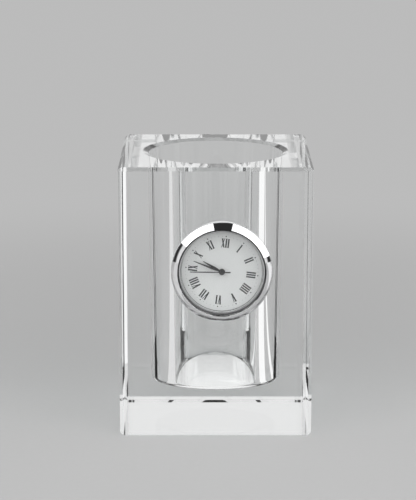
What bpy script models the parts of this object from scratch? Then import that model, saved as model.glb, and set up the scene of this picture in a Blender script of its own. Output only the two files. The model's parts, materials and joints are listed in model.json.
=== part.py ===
"""Pen holder clock: a glass block with a round pen cup, and a quartz clock let into its face.

Metres, +Z up. The origin is the centre of the block's underside, and the clock faces -Y.
The clock's pieces are drawn along its own axis: local +Z points out of the dial, local +X to
the three. Their levels are counted from the block's front face, outwards as plus.
"""

import math

import bmesh
import bpy
from mathutils import Matrix, Vector

mm = 0.001

# Clearances, overruns and facets
seat_gap = 0.3 * mm
fine_gap = 0.15 * mm
pivot_gap = 0.1 * mm
socket_gap = 0.05 * mm
face_offset = 0.04 * mm
overrun = 0.5 * mm
merge_distance = 0.0001 * mm
smooth_below_degrees = 35
cup_sides = 56
ring_sides = 36
disc_sides = 24
bore_sides = 12
arbor_sides = 8

# Finishes: colour, roughness and metallic value
finishes = {
    "crystal glass": ((0.95, 0.97, 0.97), 0.02, 0),
    "polished chrome": ((0.78, 0.78, 0.8), 0.06, 1),
    "satin case metal": ((0.35, 0.35, 0.37), 0.4, 0.6),
    "brass": ((0.78, 0.6, 0.32), 0.25, 1),
    "steel": ((0.6, 0.6, 0.62), 0.25, 1),
    "copper wire": ((0.55, 0.25, 0.12), 0.35, 0.9),
    "white dial": ((0.82, 0.82, 0.81), 0.5, 0),
    "white plastic": ((0.7, 0.7, 0.68), 0.5, 0),
    "black paint": ((0.012, 0.012, 0.013), 0.35, 0),
    "black resin": ((0.015, 0.015, 0.015), 0.5, 0),
    "rubber": ((0.02, 0.02, 0.02), 0.7, 0),
    "green board": ((0.03, 0.16, 0.07), 0.4, 0),
}
clear = 1.0

# Glass block
block_width = 70 * mm
block_depth = 70 * mm
block_height = 100 * mm
block_chamfer = 1.2 * mm

# Pen cup, a blind bore from the top that widens a little upwards to a shallow bevel
cup_radius = 24 * mm
cup_draft = 0.85 * mm
cup_floor_thickness = 15.4 * mm
cup_floor_fillet = 2 * mm
cup_bevel_width = 2.15 * mm
cup_bevel_depth = 0.9 * mm
fillet_steps = 3

# Where the clock sits on the front face, and how far it is twisted in its recess
clock_offset = 2.2 * mm
clock_height = 62.15 * mm
clock_twist_degrees = 6.8

# Round recess for the clock
recess_radius = 17.5 * mm
recess_depth = 8.4 * mm
recess_chamfer = 0.3 * mm

# Case, bezel and lens
bezel_overlap = 0.75 * mm
bezel_stand = 3 * mm
bezel_rim = 0.45 * mm
bezel_lip = 0.15 * mm
bezel_lip_drop = 0.3 * mm
bezel_rim_round = 0.2 * mm
bezel_crown = 0.1 * mm
case_clearance = 0.9 * mm
case_wall = 0.9 * mm
case_front = 0 * mm
skirt_wall = 0.55 * mm
lens_ledge = 0.7 * mm
lens_thickness = 1.3 * mm
lens_sink = 0.5 * mm
lens_chamfer = 0.2 * mm

# Rubber ring in a groove of the case
gasket_width = 1.8 * mm
gasket_body = 0.4 * mm
gasket_fins = 3
groove_depth = 0.3 * mm
groove_rear_wall = 0.6 * mm

# Case back
back_thickness = 0.7 * mm
back_rim_width = 0.6 * mm
back_rim_height = 0.15 * mm
back_step = 0.2 * mm
back_step_share = 0.7
pry_notch_half = 1.6 * mm
pry_notch_depth = 0.8 * mm

# Dial and the flange ring round it
dial_sink = 0.5 * mm
dial_thickness = 0.4 * mm
dial_hole_gap = 0.2 * mm
flange_width = 0.3 * mm
flange_edge = 0.15 * mm
dial_foot_radius = 0.3 * mm
dial_foot_length = 1.8 * mm

# Thickness of the layers from the hands down to the bridge, and the free space between them
hour_hand_lift = 0.4 * mm
hand_thickness = 0.15 * mm
hand_gap = 0.3 * mm
second_hub_height = 0.35 * mm
layer_gap = 0.2 * mm
wheel_thickness = 0.3 * mm
plate_thickness = 1 * mm
train_wheel_thickness = 0.25 * mm
train_layer_gap = 0.3 * mm
leaf_overhang = 0.08 * mm
bridge_thickness = 0.6 * mm
pivot_depth = 0.5 * mm

# Movement ring
ring_wall = 2.35 * mm
stem_slot_half = 0.75 * mm

# Radii that follow, from the recess inwards
bezel_radius = recess_radius + bezel_overlap
case_radius = recess_radius - case_clearance
case_bore = case_radius - case_wall
skirt_radius = case_bore - fine_gap
skirt_bore = skirt_radius - skirt_wall
lens_bore = skirt_bore + lens_ledge
lens_radius = lens_bore - fine_gap
dial_radius = skirt_bore - fine_gap
ring_radius = case_bore - fine_gap
ring_bore = ring_radius - ring_wall
plate_radius = ring_bore - fine_gap

# One unit is a millimetre in this movement. What lies inside the plate's rim is given in units,
# so a smaller or larger clock keeps the same layout.
plate_units = 13.05
unit = plate_radius / plate_units

# Hands
hour_hand_length = 7.8 * unit
hour_hand_width = 0.8 * unit
hour_hand_tip = 0.42 * unit
hour_hub_wall = 0.25 * unit
minute_hand_length = 11 * unit
minute_hand_width = 0.72 * unit
minute_hand_tip = 0.36 * unit
minute_hub_wall = 0.5 * unit
second_hand_length = 11.5 * unit
second_hand_width = 0.4 * unit
second_hand_tip = 0.3 * unit
second_tail_length = 3.1 * unit
second_tail_width = 0.42 * unit
second_hub_radius = 0.8 * unit
second_root_radius = 0.4 * unit
hour_hand_degrees = 293
minute_hand_degrees = 285
second_hand_degrees = 264

# Feet of the dial
dial_foot_place = 11.6 * unit
dial_foot_angles = (62, 242)

# Coaxial set at the centre of the movement
arbor_radius = 0.2 * unit
tube_wall = 0.2 * unit

# Wheel train: teeth, tooth form and distances between axes
rotor_leaves = 6
intermediate_teeth = 36
intermediate_leaves = 8
seconds_teeth = 40
seconds_leaves = 8
third_teeth = 60
third_leaves = 8
centre_teeth = 64
cannon_leaves = 12
minute_teeth = 36
minute_leaves = 10
hour_teeth = 40
addendum_share = 0.7
dedendum_share = 1.1
tooth_root_share = 0.24
tooth_tip_share = 0.09
third_distance = 4 * unit
third_degrees = 230
intermediate_distance = 4.15 * unit
intermediate_degrees = 290
rotor_distance = 2.6 * unit
rotor_degrees = 300
minute_distance = 2.9 * unit

# Pillars and bridge
pillar_radius = 0.9 * unit
inner_pillar_radius = 0.6 * unit
bridge_margin = 1.3 * unit
pillar_places = ((-6.9 * unit, 0.6 * unit), (6.5 * unit, -2 * unit), (0.1 * unit, -7.75 * unit))
pillar_hole_depth = 1.5 * mm

# Screws
screw_head_radius = 0.55 * unit
screw_head_thickness = 0.3 * mm
screw_shank_radius = 0.28 * unit
screw_slot_width = 0.2 * unit
screw_slot_depth = 0.12 * mm
bridge_shank = 1.6 * mm
coil_shank = 1.8 * mm
board_shank = 1.3 * mm

# Step motor
magnet_radius = 0.85 * unit
rotor_air_gap = 0.25 * unit
stator_thickness = 0.5 * mm
stator_bar_half = 0.8 * unit
stator_eye_web = 0.35 * unit
coil_span_half = 4.4 * unit
coil_place = -9.4 * unit
coil_radius = 0.85 * unit
coil_flange = 0.12 * unit
coil_flange_width = 0.35 * unit
core_half_width = 0.45 * unit
core_end_half = 0.9 * unit
core_thickness = 0.5 * unit

# Battery and its two contacts
battery_radius = 3.4 * unit
battery_thickness = 2.1 * mm
battery_step = 0.35 * mm
battery_place = 8.9 * unit
battery_degrees = 120
battery_pocket_depth = 0.4 * mm
strap_thickness = 0.2 * mm
strap_half_width = 0.9 * unit
strap_reach = 2.2 * unit
strap_foot = 2 * unit
strap_turn_degrees = 90
contact_length = 3.6 * unit
contact_half_width = 0.7 * unit
contact_pocket_depth = 0.4 * mm

# Circuit board and what is on it
board_inner_radius = 6.2 * unit
board_outer_radius = 12.5 * unit
board_start_degrees = 18
board_end_degrees = 86
board_thickness = 0.3 * mm
board_steps = 10
chip_half = 1.2 * unit
chip_height = 0.6 * mm
chip_chamfer = 0.15 * mm
chip_place = 9.4 * unit
chip_degrees = 33
can_radius = 0.75 * unit
can_length = 5 * unit
can_step = 0.15 * unit
can_place = 9.5 * unit
can_degrees = 60
board_screw_place = 9.4 * unit
board_screw_degrees = 80

# Hand setting: stem, yoke and crown
stem_slot_start = 5 * unit
stem_radius = 0.4 * mm
stem_start = 5.4 * unit
stem_pinion_length = 1 * unit
stem_pinion_radius = 0.55 * mm
stem_groove_start = 8 * unit
stem_groove_length = 0.6 * mm
stem_groove_radius = 0.25 * mm
crown_radius = 1.2 * mm
crown_grooves = 20
crown_groove_share = 0.08
crown_pull = 0.6 * mm
yoke_thickness = 0.3 * mm
yoke_tab_half = 0.55 * mm
yoke_length = 2.2 * unit
yoke_drop = 2.8 * unit
guide_radius = 0.3 * mm
guide_place = 1.9 * unit

# Radii of the coaxial tubes and the holes that pieces turn in
cannon_bore = arbor_radius + pivot_gap
cannon_radius = cannon_bore + tube_wall
hour_tube_bore = cannon_radius + pivot_gap
hour_tube_radius = hour_tube_bore + tube_wall
dial_hole = hour_tube_radius + dial_hole_gap
pivot_hole = arbor_radius + pivot_gap
screw_hole = screw_shank_radius + pivot_gap

# Levels that follow, from the lens inwards
bezel_back = case_front + seat_gap
bezel_front = case_front + bezel_stand
lens_front = bezel_front - lens_sink
lens_back = lens_front - lens_thickness
dial_front = case_front - dial_sink
dial_back = dial_front - dial_thickness
hour_hand_back = dial_front + hour_hand_lift
minute_hand_back = hour_hand_back + hand_thickness + hand_gap
second_hand_back = minute_hand_back + hand_thickness + hand_gap
hour_wheel_front = dial_back - layer_gap
hour_wheel_back = hour_wheel_front - wheel_thickness
minute_wheel_front = hour_wheel_back - layer_gap
minute_wheel_back = minute_wheel_front - wheel_thickness
plate_front = minute_wheel_back - layer_gap
plate_back = plate_front - plate_thickness
centre_wheel_front = plate_back - layer_gap
centre_wheel_back = centre_wheel_front - train_wheel_thickness
third_wheel_front = centre_wheel_back - train_layer_gap
third_wheel_back = third_wheel_front - train_wheel_thickness
seconds_wheel_front = third_wheel_back - train_layer_gap
seconds_wheel_back = seconds_wheel_front - train_wheel_thickness
intermediate_front = seconds_wheel_back - train_layer_gap
intermediate_back = intermediate_front - train_wheel_thickness
bridge_front = intermediate_back - fine_gap
bridge_back = bridge_front - bridge_thickness
ring_front = dial_back - fine_gap
ring_back = bridge_back
back_front = ring_back - seat_gap
back_back = back_front - back_thickness
arbor_end = bridge_back + fine_gap
stator_front = plate_back - pivot_gap
stator_back = stator_front - stator_thickness
core_front = stator_back - fine_gap
core_back = core_front - core_thickness
board_front = plate_back - seat_gap
board_back = board_front - board_thickness
battery_front = plate_back + battery_pocket_depth - fine_gap
battery_back = battery_front - battery_thickness
strap_front = battery_back - fine_gap
stem_level = (plate_front + plate_back) / 2
crown_start = ring_radius + layer_gap
crown_end = case_radius
groove_back = back_back + groove_rear_wall
groove_front = groove_back + gasket_width + 2 * fine_gap
seconds_arbor_top = second_hand_back + socket_gap
bridge_seat = bridge_front - bridge_thickness / 2
yoke_front = plate_front + fine_gap + yoke_thickness


def polar(radius, degrees):
    """The point at this radius and angle round an axis, as x, y."""
    angle = math.radians(degrees)
    return Vector((radius * math.cos(angle), radius * math.sin(angle)))


# Axes of the movement, in the clock's own frame
centre_axis = Vector((0, 0))
third_axis = polar(third_distance, third_degrees)
intermediate_axis = polar(intermediate_distance, intermediate_degrees)
rotor_axis = intermediate_axis + polar(rotor_distance, rotor_degrees)
minute_axis = Vector((minute_distance, 0))
battery_axis = polar(battery_place, battery_degrees)
left_pillar, right_pillar, inner_pillar = (Vector(place) for place in pillar_places)
coil_ends = tuple(Vector((rotor_axis.x + side * coil_span_half, coil_place)) for side in (-1, 1))
dial_feet = tuple(polar(dial_foot_place, angle) for angle in dial_foot_angles)
board_screw_axis = polar(board_screw_place, board_screw_degrees)
strap_degrees = battery_degrees + strap_turn_degrees
strap_hole_place = battery_radius + fine_gap + strap_thickness + strap_foot / 2
strap_screw_axis = battery_axis + polar(strap_hole_place, strap_degrees)
guide_axis = Vector((stem_groove_start + stem_groove_length / 2 + crown_pull / 2, -guide_place))


def clear_scene():
    for old in list(bpy.data.objects):
        bpy.data.objects.remove(old, do_unlink=True)


def material(name):
    """The Principled material of a finish, made once."""
    found = bpy.data.materials.get(name)
    if found:
        return found
    colour, roughness, metallic = finishes[name]
    made = bpy.data.materials.new(name)
    made.use_nodes = True
    shader = made.node_tree.nodes["Principled BSDF"]
    shader.inputs["Base Color"].default_value = (*colour, 1)
    shader.inputs["Roughness"].default_value = roughness
    shader.inputs["Metallic"].default_value = metallic
    made.diffuse_color = (*colour, 1)
    return made


def glass():
    made = material("crystal glass")
    made.node_tree.nodes["Principled BSDF"].inputs["Transmission Weight"].default_value = clear
    return made


def make_object(name, mesh_data, finish, parent=None):
    """One named object, parented to its axis, with flat faces kept flat and round ones smooth."""
    bmesh.ops.recalc_face_normals(mesh_data, faces=mesh_data.faces)
    mesh = bpy.data.meshes.new(name)
    mesh_data.to_mesh(mesh)
    mesh_data.free()
    mesh.shade_smooth()
    mesh.set_sharp_from_angle(angle=math.radians(smooth_below_degrees))
    made = bpy.data.objects.new(name, mesh)
    bpy.context.scene.collection.objects.link(made)
    made.parent = parent
    if finish:
        mesh.materials.append(finish)
    return made


def axis_empty(name, parent, location, rotation=(0, 0, 0)):
    """An empty on a joint's axis, which the pieces that turn or slide there have as parent."""
    made = bpy.data.objects.new(name, None)
    bpy.context.scene.collection.objects.link(made)
    made.parent = parent
    made.location = location
    made.rotation_euler = rotation
    made.empty_display_size = seat_gap
    return made


def boolean(target, tool, operation):
    """Joins or cuts the target with a tool, which stays as a hidden wire."""
    tool.hide_render = True
    tool.display_type = "WIRE"
    step = target.modifiers.new(operation.lower() + " " + tool.name, "BOOLEAN")
    step.operation = operation
    step.object = tool
    step.solver = "EXACT"


def turned(outline, sides, centre=centre_axis):
    """A body of revolution about local Z through centre, from (radius, level) points."""
    body = bmesh.new()
    offset = Vector((centre.x, centre.y, 0))
    points = [body.verts.new(Vector((radius, 0, level)) + offset) for radius, level in outline]
    touches_axis = outline[0][0] == 0 and outline[-1][0] == 0
    edges = [body.edges.new(pair) for pair in zip(points, points[1:])]
    if not touches_axis:
        edges.append(body.edges.new((points[-1], points[0])))
    bmesh.ops.spin(
        body,
        geom=points + edges,
        cent=offset,
        axis=(0, 0, 1),
        angle=2 * math.pi,
        steps=sides,
        use_merge=True,
    )
    bmesh.ops.remove_doubles(body, verts=body.verts, dist=merge_distance)
    return body


def disc(radius, low, high, sides, centre=centre_axis):
    """A plain round body between two levels."""
    return turned([(0, high), (radius, high), (radius, low), (0, low)], sides, centre)


def tube(inner, outer, low, high, sides, centre=centre_axis):
    """A round body with a bore, between two levels."""
    return turned([(inner, high), (outer, high), (outer, low), (inner, low)], sides, centre)


def prism(outline, low, high):
    """An outline of x, y points raised between two levels."""
    body = bmesh.new()
    base = body.faces.new([body.verts.new((x, y, low)) for x, y in outline])
    raised = bmesh.ops.extrude_face_region(body, geom=[base])["geom"]
    up = Vector((0, 0, high - low))
    bmesh.ops.translate(body, vec=up, verts=[v for v in raised if isinstance(v, bmesh.types.BMVert)])
    return body


def block_body(low, high, chamfer=0):
    """A rectangular body between two corners, with its edges bevelled if a chamfer is given."""
    body = bmesh.new()
    low, high = Vector(low), Vector(high)
    size = high - low
    place = Matrix.Translation((low + high) / 2) @ Matrix.Diagonal((*size, 1))
    bmesh.ops.create_cube(body, size=1, matrix=place)
    if chamfer:
        bmesh.ops.bevel(body, geom=body.edges[:], offset=chamfer, segments=1, affect="EDGES")
    return body


def merged(bodies):
    """Several separate solids as one mesh."""
    whole = bmesh.new()
    for body in bodies:
        part = bpy.data.meshes.new("part of a group")
        body.to_mesh(part)
        body.free()
        whole.from_mesh(part)
        bpy.data.meshes.remove(part)
    return whole


def hull_outline(circles, steps):
    """The convex outline round (centre, radius) circles, as x, y points."""
    points = []
    for centre, radius in circles:
        points += [centre + polar(radius, 360 * step / steps) for step in range(steps)]
    points.sort(key=lambda point: (point.x, point.y))

    def half(ordered):
        chain = []
        for point in ordered:
            while len(chain) > 1 and (chain[-1] - chain[-2]).cross(point - chain[-2]) <= 0:
                chain.pop()
            chain.append(point)
        return chain[:-1]

    return half(points) + half(points[::-1])


def gear_outline(teeth, module, axis, phase):
    """A toothed rim, four points to a tooth, with one tooth centred on the phase angle."""
    pitch_radius = teeth * module / 2
    root = pitch_radius - dedendum_share * module
    tip = pitch_radius + addendum_share * module
    pitch = 360 / teeth
    outline = []
    for number in range(teeth):
        middle = phase + number * pitch
        outline.append(axis + polar(root, middle - tooth_root_share * pitch))
        outline.append(axis + polar(tip, middle - tooth_tip_share * pitch))
        outline.append(axis + polar(tip, middle + tooth_tip_share * pitch))
        outline.append(axis + polar(root, middle + tooth_root_share * pitch))
    return outline


def gear(teeth, module, axis, phase, low, high):
    return prism(gear_outline(teeth, module, axis, phase), low, high)


def facing_gap(teeth, degrees):
    """The phase that puts a gap, not a tooth, at this angle."""
    return degrees + 180 / teeth


def module_of(distance, teeth, others):
    """The tooth size at which two wheels mesh across this distance."""
    return 2 * distance / (teeth + others)


seconds_module = module_of(third_distance, seconds_leaves, third_teeth)
centre_module = module_of(third_distance, third_leaves, centre_teeth)
intermediate_module = module_of(intermediate_distance, intermediate_leaves, seconds_teeth)
rotor_module = module_of(rotor_distance, rotor_leaves, intermediate_teeth)
cannon_module = module_of(minute_distance, cannon_leaves, minute_teeth)
hour_module = module_of(minute_distance, minute_leaves, hour_teeth)


def make_block():
    """Glass block with its pen cup and the clock's recess."""
    half_width, half_depth = block_width / 2, block_depth / 2
    block = make_object(
        "crystal_block",
        block_body((-half_width, -half_depth, 0), (half_width, half_depth, block_height), block_chamfer),
        glass(),
    )
    floor = cup_floor_thickness
    above = block_height + overrun
    wide = cup_radius + cup_draft
    reach = (cup_bevel_depth + overrun) * cup_bevel_width / cup_bevel_depth
    outline = [(0, above), (wide + reach, above), (wide, block_height - cup_bevel_depth)]
    for step in range(fillet_steps + 1):
        turn = math.radians(90 * step / fillet_steps)
        radius = cup_radius - cup_floor_fillet * (1 - math.cos(turn))
        outline.append((radius, floor + cup_floor_fillet * (1 - math.sin(turn))))
    outline.append((0, floor))
    cup = make_object("cup cutter", turned(outline, cup_sides), None)
    boolean(block, cup, "DIFFERENCE")

    mouth = recess_radius + recess_chamfer
    outline = [(0, overrun), (mouth + overrun, overrun)]
    outline.append((recess_radius, -recess_chamfer))
    outline += [(recess_radius, -recess_depth), (0, -recess_depth)]
    recess = make_object("recess cutter", turned(outline, ring_sides), None, clock_axis)
    boolean(block, recess, "DIFFERENCE")


def make_gasket():
    """Rubber ring with fins, in the case's groove."""
    inner = case_radius - groove_depth + fine_gap
    tip = recess_radius - seat_gap
    front = groove_front - fine_gap
    pitch = gasket_width / gasket_fins
    outline = [(inner, front)]
    for fin in range(gasket_fins):
        level = front - fin * pitch
        outline.append((inner + gasket_body, level))
        outline.append((tip, level - pitch / 2))
    outline.append((inner + gasket_body, front - gasket_width))
    outline.append((inner, front - gasket_width))
    rubber = material("rubber")
    make_object("gasket", turned(outline, ring_sides), rubber, gasket_axis)


def make_case():
    """Drum open at both ends, with the gasket's groove and the crown's notch."""
    groove = case_radius - groove_depth
    outline = [
        (case_bore, case_front),
        (case_radius, case_front),
        (case_radius, groove_front),
        (groove, groove_front),
        (groove, groove_back),
        (case_radius, groove_back),
        (case_radius, back_back),
        (case_bore, back_back),
    ]
    finish = material("satin case metal")
    case = make_object("case", turned(outline, ring_sides), finish, case_axis)
    reach = crown_radius + seat_gap
    notch = block_body(
        (skirt_bore, -reach, stem_level - reach), (recess_radius, reach, stem_level + reach)
    )
    boolean(case, make_object("crown notch cutter", notch, None, case_axis), "DIFFERENCE")


def make_case_back():
    """Snap-on cover with a rim that presses on the movement ring and a notch to lift it by."""
    radius = case_bore - fine_gap
    rim_outer = radius - fine_gap
    step_radius = radius * back_step_share
    outline = [
        (0, back_front),
        (rim_outer - back_rim_width, back_front),
        (rim_outer - back_rim_width, back_front + back_rim_height),
        (rim_outer, back_front + back_rim_height),
        (rim_outer, back_front),
        (radius, back_front),
        (radius, back_back + back_step),
        (radius - back_step, back_back),
        (step_radius + back_step, back_back),
        (step_radius, back_back + back_step),
        (0, back_back + back_step),
    ]
    back = make_object("case_back", turned(outline, ring_sides), material("steel"), case_axis)
    notch = block_body(
        (-pry_notch_half, -radius - overrun, back_back - overrun),
        (pry_notch_half, pry_notch_depth - radius, (back_front + back_back) / 2),
    )
    boolean(back, make_object("pry notch cutter", notch, None, case_axis), "DIFFERENCE")


def make_bezel():
    """Polished ring: thin rim, crowned slope, inner lip, ledge for the lens and a skirt in the case."""
    lip_top = bezel_front - bezel_lip_drop
    crest = lens_bore + bezel_lip
    rim_front = bezel_back + bezel_rim
    outline = [(lens_bore, lens_back - fine_gap), (lens_bore, lip_top), (crest, bezel_front)]
    slope_start = Vector((crest + bezel_lip, bezel_front - bezel_lip_drop / 2))
    slope_end = Vector((bezel_radius - bezel_rim_round, rim_front + bezel_rim_round))
    across = (slope_end - slope_start).orthogonal().normalized()
    if across.y < 0:
        across.negate()
    for step in range(fillet_steps + 1):
        share = step / fillet_steps
        crowned = slope_start.lerp(slope_end, share) + across * bezel_crown * math.sin(math.pi * share)
        outline.append((crowned.x, crowned.y))
    outline += [
        (bezel_radius, rim_front),
        (bezel_radius, bezel_back),
        (skirt_radius, bezel_back),
        (skirt_radius, dial_back),
        (skirt_bore, dial_back),
        (skirt_bore, lens_back - fine_gap),
    ]
    make_object("bezel", turned(outline, ring_sides), material("polished chrome"), case_axis)


def make_lens():
    outline = [
        (0, lens_front),
        (lens_radius - lens_chamfer, lens_front),
        (lens_radius, lens_front - lens_chamfer),
        (lens_radius, lens_back),
        (0, lens_back),
    ]
    make_object("lens", turned(outline, ring_sides), glass(), case_axis)


def make_dial_flange():
    """Sloping ring that leads the eye from the lens to the dial."""
    low = dial_front + fine_gap
    high = lens_back - seat_gap
    outline = [
        (dial_radius - flange_edge, high),
        (dial_radius, high),
        (dial_radius, low),
        (dial_radius - flange_width, low),
    ]
    make_object("dial_flange", turned(outline, ring_sides), material("polished chrome"), case_axis)


def make_dial():
    """White disc with a hole for the hand tubes and two feet that enter the main plate."""
    finish = material("white dial")
    plate = tube(dial_hole, dial_radius, dial_back, dial_front, ring_sides)
    dial = make_object("dial", plate, finish, case_axis)
    low, high = dial_back - dial_foot_length, (dial_front + dial_back) / 2
    feet = [disc(dial_foot_radius, low, high, arbor_sides, foot) for foot in dial_feet]
    boolean(dial, make_object("dial feet", merged(feet), None, case_axis), "UNION")


def hand_outline(hub, width, tip_width, length, tail_length=0, tail_width=0):
    """A tapered blade along +Y from a round hub, with a tail behind it if one is given."""
    start = math.degrees(math.asin(width / 2 / hub))
    if tail_length:
        turn = math.degrees(math.asin(tail_width / 2 / hub))
        tail = [Vector((-tail_width / 2, -tail_length)), Vector((tail_width / 2, -tail_length))]
    else:
        turn = 0
        tail = []
    left = hub_arc(hub, 90 + start, 270 - turn)
    right = hub_arc(hub, 270 + turn, 450 - start)
    if not tail:
        right = right[1:]
    return [Vector((tip_width / 2, length)), Vector((-tip_width / 2, length))] + left + tail + right


def hub_arc(radius, start, end):
    """Points along a hub's rim between two angles."""
    steps = bore_sides // 2
    return [polar(radius, start + (end - start) * step / steps) for step in range(steps + 1)]


def make_hour_hand():
    bore = hour_tube_radius + pivot_gap
    hub = bore + hour_hub_wall
    outline = hand_outline(hub, hour_hand_width, hour_hand_tip, hour_hand_length)
    top = hour_hand_back + hand_thickness
    blade = prism(outline, hour_hand_back, top)
    hand = make_object("hour_hand", blade, material("black paint"), hour_axis_empty)
    hole = disc(bore, hour_hand_back - overrun, top + overrun, bore_sides)
    boolean(hand, make_object("hour hand bore", hole, None, hour_axis_empty), "DIFFERENCE")


def make_minute_hand():
    bore = cannon_radius + pivot_gap
    hub = bore + minute_hub_wall
    outline = hand_outline(hub, minute_hand_width, minute_hand_tip, minute_hand_length)
    top = minute_hand_back + hand_thickness
    blade = prism(outline, minute_hand_back, top)
    hand = make_object("minute_hand", blade, material("black paint"), minute_axis_empty)
    hole = disc(bore, minute_hand_back - overrun, top + overrun, bore_sides)
    boolean(hand, make_object("minute hand bore", hole, None, minute_axis_empty), "DIFFERENCE")


def make_second_hand():
    """Thin blade with a tail, and a hub with a blind socket for the arbor."""
    outline = hand_outline(
        second_root_radius,
        second_hand_width,
        second_hand_tip,
        second_hand_length,
        second_tail_length,
        second_tail_width,
    )
    top = second_hand_back + hand_thickness
    blade = prism(outline, second_hand_back, top)
    hand = make_object("second_hand", blade, material("black paint"), seconds_axis_empty)
    hub_top = second_hand_back - fine_gap + second_hub_height
    rim = hub_top - pivot_gap
    hub = turned(
        [
            (0, hub_top),
            (second_hub_radius - pivot_gap, hub_top),
            (second_hub_radius, rim),
            (second_hub_radius, second_hand_back - fine_gap),
            (0, second_hand_back - fine_gap),
        ],
        disc_sides,
    )
    boolean(hand, make_object("second hand hub", hub, None, seconds_axis_empty), "UNION")
    socket = disc(pivot_hole, second_hand_back - seat_gap, seconds_arbor_top + socket_gap, arbor_sides)
    boolean(hand, make_object("second hand socket", socket, None, seconds_axis_empty), "DIFFERENCE")


def make_seconds_wheel():
    """Long arbor through the centre tube, with the seconds pinion and wheel."""
    arbor = disc(arbor_radius, arbor_end, seconds_arbor_top, arbor_sides)
    wheel = make_object("seconds_wheel", arbor, material("brass"), seconds_axis_empty)
    teeth = gear(
        seconds_teeth,
        intermediate_module,
        centre_axis,
        facing_gap(seconds_teeth, intermediate_degrees),
        seconds_wheel_back,
        seconds_wheel_front,
    )
    boolean(wheel, make_object("seconds wheel teeth", teeth, None, seconds_axis_empty), "UNION")
    leaves = gear(
        seconds_leaves,
        seconds_module,
        centre_axis,
        third_degrees,
        seconds_wheel_back + leaf_overhang,
        third_wheel_front + leaf_overhang,
    )
    boolean(wheel, make_object("seconds pinion leaves", leaves, None, seconds_axis_empty), "UNION")


def make_third_wheel():
    arbor = disc(arbor_radius, arbor_end, plate_back + pivot_depth, arbor_sides)
    wheel = make_object("third_wheel", arbor, material("brass"), third_axis_empty)
    teeth = gear(
        third_teeth,
        seconds_module,
        centre_axis,
        facing_gap(third_teeth, third_degrees + 180),
        third_wheel_back,
        third_wheel_front,
    )
    boolean(wheel, make_object("third wheel teeth", teeth, None, third_axis_empty), "UNION")
    leaves = gear(
        third_leaves,
        centre_module,
        centre_axis,
        third_degrees + 180,
        third_wheel_back + leaf_overhang,
        centre_wheel_front + leaf_overhang,
    )
    boolean(wheel, make_object("third pinion leaves", leaves, None, third_axis_empty), "UNION")


def make_centre_wheel():
    """Wheel, cannon pinion and the tube that carries the minute hand, in one piece."""
    top = minute_hand_back + hand_thickness
    body = disc(cannon_radius, centre_wheel_back, top, bore_sides)
    wheel = make_object("centre_wheel", body, material("brass"), minute_axis_empty)
    teeth = gear(
        centre_teeth,
        centre_module,
        centre_axis,
        facing_gap(centre_teeth, third_degrees),
        centre_wheel_back - face_offset,
        centre_wheel_front,
    )
    boolean(wheel, make_object("centre wheel teeth", teeth, None, minute_axis_empty), "UNION")
    leaves = gear(
        cannon_leaves,
        cannon_module,
        centre_axis,
        0,
        minute_wheel_back - leaf_overhang,
        minute_wheel_front + leaf_overhang,
    )
    boolean(wheel, make_object("cannon pinion leaves", leaves, None, minute_axis_empty), "UNION")
    bore = disc(cannon_bore, centre_wheel_back - overrun, top + overrun, arbor_sides)
    boolean(wheel, make_object("centre wheel bore", bore, None, minute_axis_empty), "DIFFERENCE")


def make_intermediate_wheel():
    arbor = disc(arbor_radius, arbor_end, plate_back + pivot_depth, arbor_sides)
    wheel = make_object("intermediate_wheel", arbor, material("brass"), intermediate_axis_empty)
    teeth = gear(
        intermediate_teeth,
        rotor_module,
        centre_axis,
        facing_gap(intermediate_teeth, rotor_degrees),
        intermediate_back,
        intermediate_front,
    )
    boolean(wheel, make_object("intermediate wheel teeth", teeth, None, intermediate_axis_empty), "UNION")
    leaves = gear(
        intermediate_leaves,
        intermediate_module,
        centre_axis,
        intermediate_degrees + 180,
        intermediate_back + leaf_overhang,
        seconds_wheel_front + leaf_overhang,
    )
    pinion = make_object("intermediate pinion leaves", leaves, None, intermediate_axis_empty)
    boolean(wheel, pinion, "UNION")


def make_rotor():
    """Magnet disc in the stator's eye, with its pinion on one arbor."""
    arbor = disc(arbor_radius, arbor_end, plate_back + pivot_depth, arbor_sides)
    rotor = make_object("motor_rotor", arbor, material("steel"), rotor_axis_empty)
    magnet = disc(magnet_radius, stator_back, stator_front, disc_sides)
    boolean(rotor, make_object("rotor magnet", magnet, None, rotor_axis_empty), "UNION")
    leaves = gear(
        rotor_leaves,
        rotor_module,
        centre_axis,
        rotor_degrees + 180,
        intermediate_back - leaf_overhang,
        intermediate_front + leaf_overhang,
    )
    boolean(rotor, make_object("rotor pinion leaves", leaves, None, rotor_axis_empty), "UNION")


def make_minute_wheel():
    """Motion-work wheel on a post of the main plate, between cannon pinion and hour wheel."""
    teeth = gear(
        minute_teeth,
        cannon_module,
        centre_axis,
        facing_gap(minute_teeth, 180),
        minute_wheel_back,
        minute_wheel_front,
    )
    wheel = make_object("minute_wheel", teeth, material("brass"), motion_axis_empty)
    leaves = gear(
        minute_leaves,
        hour_module,
        centre_axis,
        180,
        minute_wheel_back + leaf_overhang,
        hour_wheel_front,
    )
    boolean(wheel, make_object("minute pinion leaves", leaves, None, motion_axis_empty), "UNION")
    bore = disc(pivot_hole, minute_wheel_back - overrun, hour_wheel_front + overrun, arbor_sides)
    boolean(wheel, make_object("minute wheel bore", bore, None, motion_axis_empty), "DIFFERENCE")


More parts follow.
